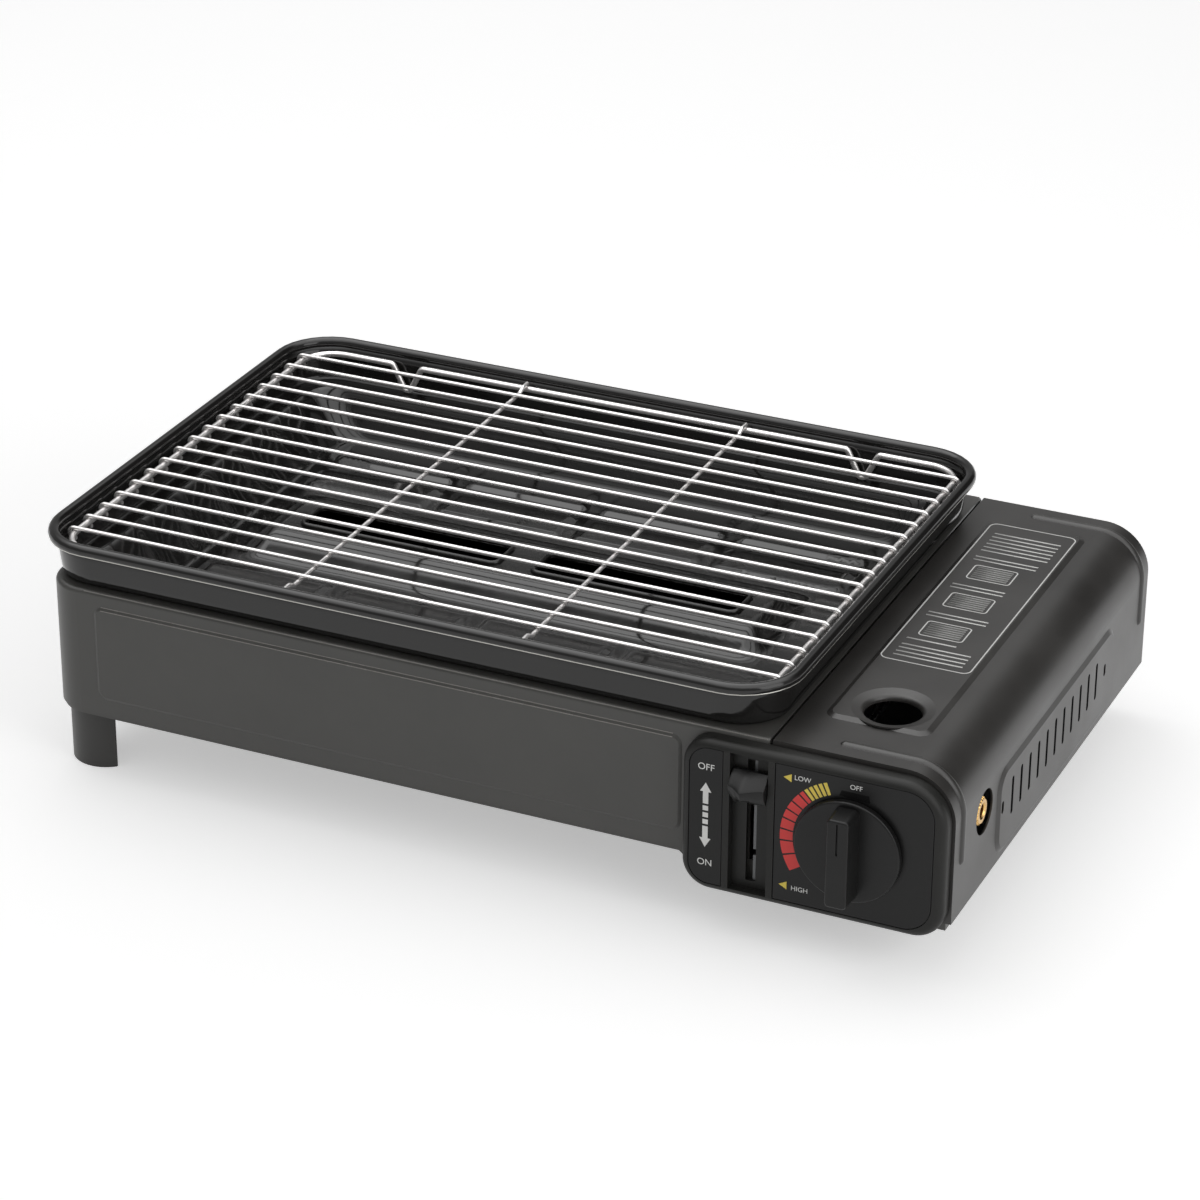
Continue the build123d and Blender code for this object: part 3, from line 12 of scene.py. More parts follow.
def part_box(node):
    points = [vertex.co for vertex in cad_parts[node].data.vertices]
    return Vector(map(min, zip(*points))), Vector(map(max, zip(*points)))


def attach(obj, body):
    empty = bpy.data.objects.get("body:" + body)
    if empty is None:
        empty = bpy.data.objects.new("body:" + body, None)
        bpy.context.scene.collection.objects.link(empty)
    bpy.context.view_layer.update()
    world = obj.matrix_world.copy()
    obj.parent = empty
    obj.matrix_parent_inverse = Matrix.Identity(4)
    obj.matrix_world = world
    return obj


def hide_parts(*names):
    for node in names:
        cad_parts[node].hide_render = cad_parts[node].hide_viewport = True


bl_info = {
    "name": "Butane cassette stove",
    "version": (1, 0, 0),
    "blender": (4, 5, 0),
    "location": "View3D > Sidebar > Stove",
    "description": "Dresses the stove's solids with enamel, paint, wire and print",
    "category": "Object",
}

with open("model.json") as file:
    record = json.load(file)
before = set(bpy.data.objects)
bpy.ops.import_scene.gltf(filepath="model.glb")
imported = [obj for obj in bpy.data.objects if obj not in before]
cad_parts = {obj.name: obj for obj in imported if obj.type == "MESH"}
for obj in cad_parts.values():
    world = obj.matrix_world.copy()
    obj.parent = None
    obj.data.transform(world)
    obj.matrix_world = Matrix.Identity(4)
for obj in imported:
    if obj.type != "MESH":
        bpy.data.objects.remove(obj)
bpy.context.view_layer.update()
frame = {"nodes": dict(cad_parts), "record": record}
NODES = frame["nodes"]
MM = 0.001


# ---------------- settings
def millimetres(name, description, default):
    """A length property, shown in metres and given in millimetres."""
    return FloatProperty(
        name=name, description=description, default=default * MM, unit="LENGTH", precision=5
    )


def colour(name, description, default):
    """A colour property with linear values."""
    return FloatVectorProperty(
        name=name, description=description, default=default, subtype="COLOR", size=3, min=0, max=1
    )


def strength(name, description, default, unit="NONE"):
    """A light's strength or power property."""
    return FloatProperty(name=name, description=description, default=default, min=0, unit=unit)


class StoveFinishes(bpy.types.PropertyGroup):
    """Colours of the stove's finishes"""

    paint: colour("Body paint", "Satin paint of the tub", (0.057, 0.056, 0.052))
    lid_paint: colour("Lid paint", "Satin paint of the cartridge lid", (0.028, 0.0265, 0.025))
    enamel: colour("Enamel", "Gloss enamel of the grill pan", (0.012, 0.0115, 0.011))
    wire: colour("Plated wire", "Bright plating of the grate", (0.86, 0.84, 0.83))
    panel: colour("Panel plastic", "Moulded front panel", (0.013, 0.013, 0.012))
    knob: colour("Knob plastic", "Control knob and lever grip", (0.009, 0.009, 0.009))
    red: colour("Scale red", "High part of the printed scale", (0.72, 0.035, 0.032))
    yellow: colour("Scale yellow", "Low part of the printed scale", (0.80, 0.62, 0.09))
    white: colour("Print white", "White lines of the printed labels", (0.80, 0.80, 0.78))


class StovePan(bpy.types.PropertyGroup):
    """Sizes of the grill pan"""

    sheet: millimetres("Sheet", "Thickness of the pan's sheet", 1.2)
    rim_radius: millimetres("Rim radius", "Radius of the rolled rim", 2.8)
    rim_corner: millimetres("Rim corner", "Corner radius of the rim, seen from above", 29)
    ledge: millimetres("Ledge height", "Floor to the ledge that the grate stands on", 96.2)
    floor: millimetres("Floor height", "Floor to the inside of the pan's floor", 75)
    slope_left: millimetres("Left slope", "Run of the basin's left wall", 22)
    slope_right: millimetres("Right slope", "Run of the basin's right wall", 14)
    slope_side: millimetres("Side slope", "Run of the basin's front and back walls", 12)
    hip: millimetres("Ridge height", "Height of the ridge that holds the flame slots", 9)
    slot_width: millimetres("Slot width", "Width of a flame slot", 22)
    slot_length: millimetres("Slot length", "Length of a flame slot", 102.6)
    slot_bridge: millimetres("Slot bridge", "Metal between the two flame slots", 17)
    pad_height: millimetres("Pad height", "Height of the pressed pads on the floor", 1.2)
    rib_height: millimetres("Rib height", "Height of the pressed ribs on the end walls", 1.7)
    rib_count: IntProperty(name="Ribs", description="Pressed ribs on each end wall", default=6, min=0)


class StoveDial(bpy.types.PropertyGroup):
    """Sizes of the printed scale and of all print"""

    inner: millimetres("Inner radius", "Inside of the printed scale", 25.4)
    outer: millimetres("Outer radius", "Outside of the printed scale", 31.2)
    film: millimetres("Print thickness", "Height of printed shapes above their plate", 0.05)


class StoveGrate(bpy.types.PropertyGroup):
    """Sizes of the wire grate"""

    bars: IntProperty(name="Bars", description="Bars across the grate", default=17, min=2)
    margin: millimetres("Margin", "Frame wire's centre to the first bar", 14.4)
    wire: millimetres("Bar wire", "Diameter of a bar", 2.0)
    frame_wire: millimetres("Frame wire", "Diameter of the frame wire", 3.0)


class StoveLouvres(bpy.types.PropertyGroup):
    """Sizes of the slots in the lid's side"""

    count: IntProperty(name="Louvres", description="Long slots in the lid's side", default=11, min=1)
    pitch: millimetres("Pitch", "Distance between two slots", 11.5)
    setback: millimetres("Setback", "Lid's front edge to the first slot", 70.6)
    height: millimetres("Height", "Floor to the middle of the slots", 52.5)
    length: millimetres("Slot length", "Length of a slot", 18.5)
    width: millimetres("Slot width", "Width of a slot", 2.8)


class StoveStage(bpy.types.PropertyGroup):
    """Light round the stove"""

    sky: strength("Sky", "Strength of the room's even light", 0.4)
    gloss_low: strength("Low gloss", "Sky that gloss shows near the horizon", 0.36)
    gloss_high: strength("High gloss", "Sky that gloss shows overhead", 2.4)
    dark_corner: strength("Dark corner", "Share of the sky left in gloss at the back right", 0.1)
    floor_glow: strength("Floor glow", "Light added to the floor where it is seen or reflected", 0.42)
    side_lamp: strength("Side lamp", "Power of the lamp at the lid's side", 8, "POWER")
    top_lamp: strength("Top lamp", "Power of the lamp overhead", 6, "POWER")


# ---------------- shader groups and finishes
def add(tree, kind, inputs=(), **settings):
    """A node with its settings and inputs; each input is a value or the socket that feeds it."""
    node = tree.nodes.new(kind)
    for name, value in settings.items():
        setattr(node, name, value)
    for name, value in dict(inputs).items():
        if isinstance(value, bpy.types.NodeSocket):
            tree.links.new(value, node.inputs[name])
        else:
            node.inputs[name].default_value = value
    return node


def noise(tree, vector, scale, detail):
    """A noise pattern's value at a place."""
    inputs = {"Vector": vector, "Scale": scale, "Detail": detail, "Roughness": 0.55}
    return add(tree, "ShaderNodeTexNoise", inputs).outputs["Fac"]


def ranged(tree, value, low, high, from_low=0.35, from_high=0.65, **settings):
    """Maps a value to a range; low and high are numbers or sockets."""
    inputs = {"Value": value, "From Min": from_low, "From Max": from_high, "To Min": low, "To Max": high}
    return add(tree, "ShaderNodeMapRange", inputs, **settings).outputs["Result"]


def surface_group(name, labels, build):
    """A shader group that turns a place into colour, roughness and normal.

    labels name its number sockets; build gives a pattern, the share and colour of a second shade,
    and a bump node.
    """
    tree = bpy.data.node_groups.new(name, "ShaderNodeTree")
    tree.interface.new_socket("Vector", in_out="INPUT", socket_type="NodeSocketVector")
    tree.interface.new_socket("Colour", in_out="INPUT", socket_type="NodeSocketColor")
    for label in labels:
        tree.interface.new_socket(label, in_out="INPUT", socket_type="NodeSocketFloat")
    for label, kind in (("Colour", "Color"), ("Roughness", "Float"), ("Normal", "Vector")):
        tree.interface.new_socket(label, in_out="OUTPUT", socket_type="NodeSocket" + kind)
    given = tree.nodes.new("NodeGroupInput").outputs
    pattern, share, second, bump = build(tree, given)
    shades = {"Factor": share, "A": given["Colour"], "B": second}
    tint = add(tree, "ShaderNodeMix", shades, data_type="RGBA").outputs["Result"]
    gloss = ranged(tree, pattern, given["Gloss Low"], given["Gloss High"])
    add(tree, "NodeGroupOutput", {"Colour": tint, "Roughness": gloss, "Normal": bump.outputs["Normal"]})
    return tree


def grain_nodes(tree, given):
    """Fine surface grain with broad, faint cloudiness in shade and gloss."""
    grain = noise(tree, given["Vector"], given["Grain Scale"], 2.0)
    cloud = noise(tree, given["Vector"], 22.0, 4.0)
    bump = add(tree, "ShaderNodeBump", {"Strength": 1.0, "Distance": given["Grain Depth"], "Height": grain})
    return cloud, ranged(tree, cloud, 0.0, given["Cloud"]), (0.5, 0.48, 0.45, 1), bump


def brushed_nodes(tree, given):
    """Long scratches along X, for rolled and drawn metal."""
    stretch = add(tree, "ShaderNodeMapping", {"Vector": given["Vector"], "Scale": (12, 900, 900)})
    lines = noise(tree, stretch.outputs["Vector"], 1.0, 3.0)
    bump = add(tree, "ShaderNodeBump", {"Strength": 0.4, "Distance": 0.00002, "Height": lines})
    return lines, ranged(tree, lines, 0.0, 0.25), (0.2, 0.2, 0.2, 1), bump


def finish(name, surface, values, metallic=1.0, specular=0.5):
    """A material whose colour, gloss and bump come from a shader group on Object coordinates."""
    material = bpy.data.materials.new(name)
    material.use_nodes = True
    tree = material.node_tree
    shader = tree.nodes["Principled BSDF"]
    place = add(tree, "ShaderNodeTexCoord").outputs["Object"]
    made = add(tree, "ShaderNodeGroup", {"Vector": place, **values}, node_tree=surface).outputs
    for label, socket in (("Colour", "Base Color"), ("Roughness", "Roughness"), ("Normal", "Normal")):
        tree.links.new(made[label], shader.inputs[socket])
    shader.inputs["Metallic"].default_value = metallic
    shader.inputs["Specular IOR Level"].default_value = specular
    return material


# a colour is given here or named after its setting; grain's scale is per metre and its depth in metres
Grain = namedtuple(
    "Grain", "colour low high scale depth cloud metallic specular",
    defaults=(1500, 0.00003, 0.02, 0.0, 0.5),
)
PRINT = (0.35, 0.4, 1800, 0.00001, 0.0)
GRAINS = {
    "body_paint": Grain("paint", 0.33, 0.4),
    "lid_paint": Grain("lid_paint", 0.3, 0.37),
    # lighter paint for the painted highlights along pressed edges and on the louvre lips
    "highlight_paint": Grain((0.21, 0.2, 0.185), 0.24, 0.3),
    "pan_enamel": Grain("enamel", 0.07, 0.12, 90, 0.00002, 0.002, specular=0.45),
    # bright metal for the painted highlight line under the pan's rim
    "rim_highlight": Grain((0.5, 0.49, 0.46), 0.18, 0.26, 900, 0.00001, 0.0, metallic=1.0),
    "grate_chrome": Grain("wire", 0.24, 0.34, 900, 0.00001, 0.0, metallic=0.75),
    "panel_plastic": Grain("panel", 0.4, 0.48, 2600, 0.00005, 0.01, specular=0.25),
    "knob_plastic": Grain("knob", 0.32, 0.4, 3000, 0.00003, 0.01, specular=0.25),
    "foot_plastic": Grain((0.028, 0.027, 0.025), 0.4, 0.5, 2200, 0.00005, 0.01),
    "slot_grey": Grain((0.16, 0.165, 0.17), 0.35, 0.42, 2200, 0.00002, 0.01),
    "dial_print": Grain((0.009, 0.009, 0.009), 0.32, 0.38, 1800, 0.00001, 0.005, specular=0.25),
    # near-black for the painted shade inside the lid's slots and for the dark patch above the knob
    "shade_and_patch_black": Grain((0.003, 0.003, 0.003), 0.5, 0.6, 1800, 0.00001, 0.0, specular=0.1),
    "print_red": Grain("red", *PRINT),
    "print_yellow": Grain("yellow", *PRINT),
    "print_white": Grain("white", *PRINT),
    "print_grey": Grain((0.32, 0.32, 0.31), *PRINT),
    "brass": Grain((0.72, 0.45, 0.16), 0.2, 0.32, 900, 0.00001, 0.03, metallic=1.0),
    "zinc_casting": Grain((0.5, 0.5, 0.5), 0.4, 0.55, 1200, 0.00006, metallic=1.0),
    "ceramic": Grain((0.82, 0.8, 0.75), 0.2, 0.3, 500, 0.00001),
    "lead_rubber": Grain((0.02, 0.02, 0.02), 0.5, 0.6, 900, 0.00002, 0.01),
}
# colour, and the lowest and highest roughness
BRUSHED = {
    "inner_steel": ((0.52, 0.52, 0.51), 0.3, 0.5),
    "lever_steel": ((0.45, 0.45, 0.44), 0.25, 0.4),
    "fastener_steel": ((0.58, 0.57, 0.52), 0.22, 0.35),
}


def make_finishes():
    """Every finish of the stove, by the record's slot names, with the print colours beside them."""
    tints = bpy.context.scene.stove_finishes
    gloss = ("Gloss Low", "Gloss High")
    grain = surface_group("surface_grain", (*gloss, "Grain Scale", "Grain Depth", "Cloud"), grain_nodes)
    brushed = surface_group("brushed_lines", gloss, brushed_nodes)
    made = {}
    for name, g in GRAINS.items():
        tint = getattr(tints, g.colour) if isinstance(g.colour, str) else g.colour
        values = {
            "Colour": (*tint, 1), "Gloss Low": g.low, "Gloss High": g.high,
            "Grain Scale": g.scale, "Grain Depth": g.depth, "Cloud": g.cloud,
        }
        made[name] = finish(name, grain, values, g.metallic, g.specular)
    for name, (tint, low, high) in BRUSHED.items():
        values = {"Colour": (*tint, 1), "Gloss Low": low, "Gloss High": high}
        made[name] = finish(name, brushed, values)
    return made


# ---------------- mesh helpers
def placed(name, data):
    """A new object in the scene."""
    thing = bpy.data.objects.new(name, data)
    bpy.context.scene.collection.objects.link(thing)
    return thing


def piece(name, vertices, faces, body, material, smooth=True):
    """A new piece from plain mesh data, riding on a body and shown in one finish."""
    mesh = bpy.data.meshes.new(name)
    mesh.from_pydata([tuple(v) for v in vertices], [], [tuple(int(i) for i in f) for f in faces])
    mesh.validate()
    shade(mesh, smooth)
    return keep(placed(name, mesh), body, material)


def shade(mesh, smooth=True):
    """Makes all faces of a mesh smooth or flat."""
    mesh.polygons.foreach_set("use_smooth", [smooth] * len(mesh.polygons))


def outward(thing):
    """Turns the faces of a closed piece outwards."""
    solid = bmesh.new()
    solid.from_mesh(thing.data)
    bmesh.ops.recalc_face_normals(solid, faces=solid.faces)
    solid.to_mesh(thing.data)
    solid.free()


def keep(thing, body, material):
    """Gives an object a finish and lets it ride on a body."""
    thing.data.materials.clear()
    thing.data.materials.append(MATERIALS[material])
    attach(thing, body)
    return thing


def plain_mesh(thing, name):
    """A plain mesh object made from an object with live modifiers, which is then removed."""
    graph = bpy.context.evaluated_depsgraph_get()
    mesh = bpy.data.meshes.new_from_object(thing.evaluated_get(graph))
    mesh.transform(thing.matrix_world)
    mesh.name = name
    bpy.data.objects.remove(thing)
    return placed(name, mesh)


def merged(pieces, name, body, material):
    """Several mesh objects as one piece."""
    joined = bmesh.new()
    for part in pieces:
        joined.from_mesh(part.data)
        bpy.data.objects.remove(part)
    mesh = bpy.data.meshes.new(name)
    joined.to_mesh(mesh)
    joined.free()
    shade(mesh)
    return keep(placed(name, mesh), body, material)


def outline(x0, x1, y0, y1, radius, along=120, across=70, corner=8):
    """Points of a rounded rectangle, anticlockwise from the left end of its front side."""
    radius = max(radius, 1e-5)
    runs = []
    corners = (
        (x1 - radius, y0 + radius, -90), (x1 - radius, y1 - radius, 0),
        (x0 + radius, y1 - radius, 90), (x0 + radius, y0 + radius, 180),
    )
    starts = ((x0 + radius, y0), (x1, y0 + radius), (x1 - radius, y1), (x0, y1 - radius))
    ends = ((x1 - radius, y0), (x1, y1 - radius), (x0 + radius, y1), (x0, y0 + radius))
    for (cx, cy, turn), start, end, count in zip(corners, starts, ends, (along, across, along, across)):
        steps = np.linspace(0, 1, count, endpoint=False)[:, None]
        runs.append(np.array(start) + steps * (np.array(end) - np.array(start)))
        angles = np.radians(turn + np.linspace(0, 90, corner, endpoint=False))
        runs.append(np.stack([cx + radius * np.cos(angles), cy + radius * np.sin(angles)], 1))
    return np.concatenate(runs)


def level(loop, z):
    """Points of a flat loop at a height."""
    return np.column_stack([loop, np.full(len(loop), z)])


def ring_faces(rings, count, closed=False):
    """Quads between successive rings of equal point count, facing up for rings that shrink inwards."""
    faces = []
    for k in range(rings if closed else rings - 1):
        a, b = k * count, ((k + 1) % rings) * count
        faces += [(a + i, a + (i + 1) % count, b + (i + 1) % count, b + i) for i in range(count)]
    return faces


def ringed(name, loops, body, material, smooth=True):
    """A closed piece through successive loops of points, the last one joined to the first."""
    faces = ring_faces(len(loops), len(loops[0]), closed=True)
    return piece(name, np.concatenate(loops), faces, body, material, smooth)


def smooth_step(value):
    """Eases from 0 to 1 as the value does."""
    value = np.clip(value, 0, 1)
    return value * value * (3 - 2 * value)


MATERIALS = {}
FRONT_FACING = Matrix(((1, 0, 0), (0, 0, -1), (0, 1, 0)))


def row_tree(name, as_wire):
    """Repeats its geometry in a straight row; edges are first given the thickness of a wire.

    Returns the tree and the identifiers of its named inputs.
    """
    tree = bpy.data.node_groups.new(name, "GeometryNodeTree")
    tree.interface.new_socket("Geometry", in_out="INPUT", socket_type="NodeSocketGeometry")
    inputs = {"Count": "Int", "Start": "Vector", "Step": "Vector", "Finish": "Material"}
    if as_wire:
        inputs["Wire Radius"] = "Float"
    known = {
        label: tree.interface.new_socket(label, in_out="INPUT", socket_type="NodeSocket" + kind).identifier
        for label, kind in inputs.items()
    }
    tree.interface.new_socket("Geometry", in_out="OUTPUT", socket_type="NodeSocketGeometry")
    given = tree.nodes.new("NodeGroupInput").outputs
    source = given["Geometry"]
    if as_wire:
        line = add(tree, "GeometryNodeMeshToCurve", {"Mesh": source}).outputs["Curve"]
        size = {"Resolution": 12, "Radius": given["Wire Radius"]}
        section = add(tree, "GeometryNodeCurvePrimitiveCircle", size).outputs["Curve"]
        tube = {"Curve": line, "Profile Curve": section, "Fill Caps": True}
        source = add(tree, "GeometryNodeCurveToMesh", tube).outputs["Mesh"]
    places = {"Count": given["Count"], "Start Location": given["Start"], "Offset": given["Step"]}
    points = add(tree, "GeometryNodeMeshLine", places, mode="OFFSET").outputs["Mesh"]
    copies = add(tree, "GeometryNodeInstanceOnPoints", {"Points": points, "Instance": source})
    real = add(tree, "GeometryNodeRealizeInstances", {"Geometry": copies.outputs["Instances"]})
    finished = {"Geometry": real.outputs["Geometry"], "Material": given["Finish"]}
    dressed = add(tree, "GeometryNodeSetMaterial", finished)
    add(tree, "NodeGroupOutput", {"Geometry": dressed.outputs["Geometry"]})
    return tree, known


def row(name, vertices, edges, faces, places, body, material, wire=None):
    """A piece that repeats one shape in a row along Y through a geometry tree.

    places holds the number of copies, the first one's Y and the pitch.
    """
    count, start, pitch = places
    mesh = bpy.data.meshes.new(name)
    mesh.from_pydata([tuple(v) for v in vertices], edges, faces)
    thing = placed(name + "_one", mesh)
    tree, known = row_tree(name + "_row", wire is not None)
    modifier = thing.modifiers.new("row", "NODES")
    modifier.node_group = tree
    values = {
        "Count": count, "Start": (0, start, 0), "Step": (0, pitch, 0), "Finish": MATERIALS[material],
    }
    if wire is not None:
        values["Wire Radius"] = wire
    for label, value in values.items():
        modifier[known[label]] = value
    made = plain_mesh(thing, name)
    shade(made.data)
    return keep(made, body, material)


def flat_print(name, shapes, y, film, material):
    """Printed shapes on a front-facing plate: lists of (x, z) outlines, raised by the film's thickness."""
    built = bmesh.new()
    for shape in shapes:
        face = built.faces.new([built.verts.new((x, y, z)) for x, z in shape])
        face.normal_update()
        if face.normal.y > 0:
            face.normal_flip()
        solid = bmesh.ops.extrude_face_region(built, geom=[face])
        moved = [g for g in solid["geom"] if isinstance(g, bmesh.types.BMVert)]
        bmesh.ops.translate(built, verts=moved, vec=(0, -film, 0))
    bmesh.ops.recalc_face_normals(built, faces=built.faces)
    mesh = bpy.data.meshes.new(name)
    built.to_mesh(mesh)
    built.free()
    return keep(placed(name, mesh), "stove", material)


# ---------------- camera and stage
def look(location, azimuth, elevation, roll):
    """Camera matrix for a viewpoint that looks along an azimuth and down by an elevation."""
    a, e, r = math.radians(azimuth), math.radians(elevation), math.radians(roll)
    back = Vector((math.sin(a) * math.cos(e), -math.cos(a) * math.cos(e), math.sin(e)))
    right = Vector((math.cos(a), math.sin(a), 0))
    up = back.cross(right)
    turned = right * math.cos(r) + up * math.sin(r)
    raised = up * math.cos(r) - right * math.sin(r)
    return Matrix.Translation(location) @ Matrix((turned, raised, back)).transposed().to_4x4()


class STOVE_OT_camera(bpy.types.Operator):
    """Places the camera that shows the stove from its front right corner"""

    bl_idname = "stove.camera"
    bl_label = "Camera"

    def execute(self, context):
        data = bpy.data.cameras.new("camera")
        data.sensor_width = 36
        data.lens = 120.7026
        camera = placed("camera", data)
        place, azimuth, elevation, roll = (0.681932, -1.499962, 0.901971), 24.265, 26.619, 0.327
        camera.matrix_world = look(place, azimuth, elevation, roll)
        context.scene.camera = camera
        return {"FINISHED"}


class STOVE_OT_stage(bpy.types.Operator):
    """Makes the pale floor, the even sky and the soft lamps"""

    bl_idname = "stove.stage"
    bl_label = "Floor and light"

    def execute(self, context):
        settings = context.scene.stove_stage
        scene = context.scene
        scene.view_settings.view_transform = "Standard"
        world = bpy.data.worlds.new("studio")
        scene.world = world
        world.use_nodes = True
        tree = world.node_tree
        tree.nodes.clear()
        path = add(tree, "ShaderNodeLightPath").outputs
        rays = {0: path["Is Camera Ray"], 1: path["Is Transmission Ray"]}
        seen = add(tree, "ShaderNodeMath", rays, operation="MAXIMUM").outputs["Value"]
        even = ranged(tree, seen, settings.sky, 1.0, 0.0, 1.0)
        # gloss shows a sky that is brighter overhead than near the horizon
        direction = add(tree, "ShaderNodeTexCoord").outputs["Generated"]
        up = add(tree, "ShaderNodeSeparateXYZ", {"Vector": direction}).outputs["Z"]
        eased = {"interpolation_type": "SMOOTHSTEP"}
        dome_foot, dome_top = 0.45, 0.9
        dome = ranged(tree, up, settings.gloss_low, settings.gloss_high, dome_foot, dome_top, **eased)
        # one low corner of the room is dark, which draws the lid's shoulder
        corner, corner_rim, corner_heart = (0.46, 0.80, 0.38), 0.82, 0.97
        sides = {0: direction, 1: corner}
        towards = add(tree, "ShaderNodeVectorMath", sides, operation="DOT_PRODUCT").outputs["Value"]
        dark = ranged(tree, towards, 1.0, settings.dark_corner, corner_rim, corner_heart, **eased)
        room = add(tree, "ShaderNodeMath", {0: dome, 1: dark}, operation="MULTIPLY").outputs["Value"]
        sides = {"Factor": path["Is Glossy Ray"], "A": even, "B": room}
        power = add(tree, "ShaderNodeMix", sides).outputs["Result"]
        light = add(tree, "ShaderNodeBackground", {"Color": (1, 1, 1, 1), "Strength": power})
        add(tree, "ShaderNodeOutputWorld", {"Surface": light.outputs["Background"]})

        mesh = bpy.data.meshes.new("floor")
        reach = 4
        corners = [(-reach, -reach, 0), (reach, -reach, 0), (reach, reach, 0), (-reach, reach, 0)]
        mesh.from_pydata(corners, [], [(0, 1, 2, 3)])
        floor = placed("floor", mesh)
        material = bpy.data.materials.new("pale_floor")
        material.use_nodes = True
        tree = material.node_tree
        shader = tree.nodes["Principled BSDF"]
        shader.inputs["Base Color"].default_value = (0.95, 0.95, 0.95, 1)
        shader.inputs["Roughness"].default_value = 0.9
        shader.inputs["Specular IOR Level"].default_value = 0.1
        shader.inputs["Emission Color"].default_value = (1, 1, 1, 1)
        path = add(tree, "ShaderNodeLightPath").outputs
        rays = {0: path["Is Camera Ray"], 1: path["Is Glossy Ray"]}
        seen = add(tree, "ShaderNodeMath", rays, operation="MAXIMUM").outputs["Value"]
        glow = add(tree, "ShaderNodeMath", {0: seen, 1: settings.floor_glow}, operation="MULTIPLY")
        tree.links.new(glow.outputs["Value"], shader.inputs["Emission Strength"])
        floor.data.materials.append(material)

        # name, place, what it shines on, size and power
        lamps = (
            ("side_lamp", (1.5, -0.5, 0.7), (0.1, 0, 0.03), 1.1, settings.side_lamp),
            ("top_lamp", (-0.5, 0.3, 1.6), (0, 0, 0.08), 1.4, settings.top_lamp),
        )
        for name, place, target, size, power in lamps:
            data = bpy.data.lights.new(name, "AREA")
            data.size = size
            data.energy = power
            lamp = placed(name, data)
            lamp.location = place
            lamp.rotation_euler = (Vector(target) - Vector(place)).to_track_quat("-Z", "Y").to_euler()
        return {"FINISHED"}


# ---------------- finishes of the solids
class STOVE_OT_finishes(bpy.types.Operator):
    """Gives every solid the finish of its slot"""

    bl_idname = "stove.finishes"
    bl_label = "Finishes"

    def execute(self, context):
        MATERIALS.update(make_finishes())
        slots = {s["node"]: s["material_slot"] for s in frame["record"]["subparts"]}
        # the strip is grey plastic, and the tray's end that shows at the back is painted
        slots.update({"slot_strip": "slot_grey", "bay_tray": "body_paint"})
        for name, node in NODES.items():
            node.data.materials.clear()
            node.data.materials.append(MATERIALS[slots[name]])
        return {"FINISHED"}


# ---------------- grill pan
SLOT_CORNER = 4.2 * MM


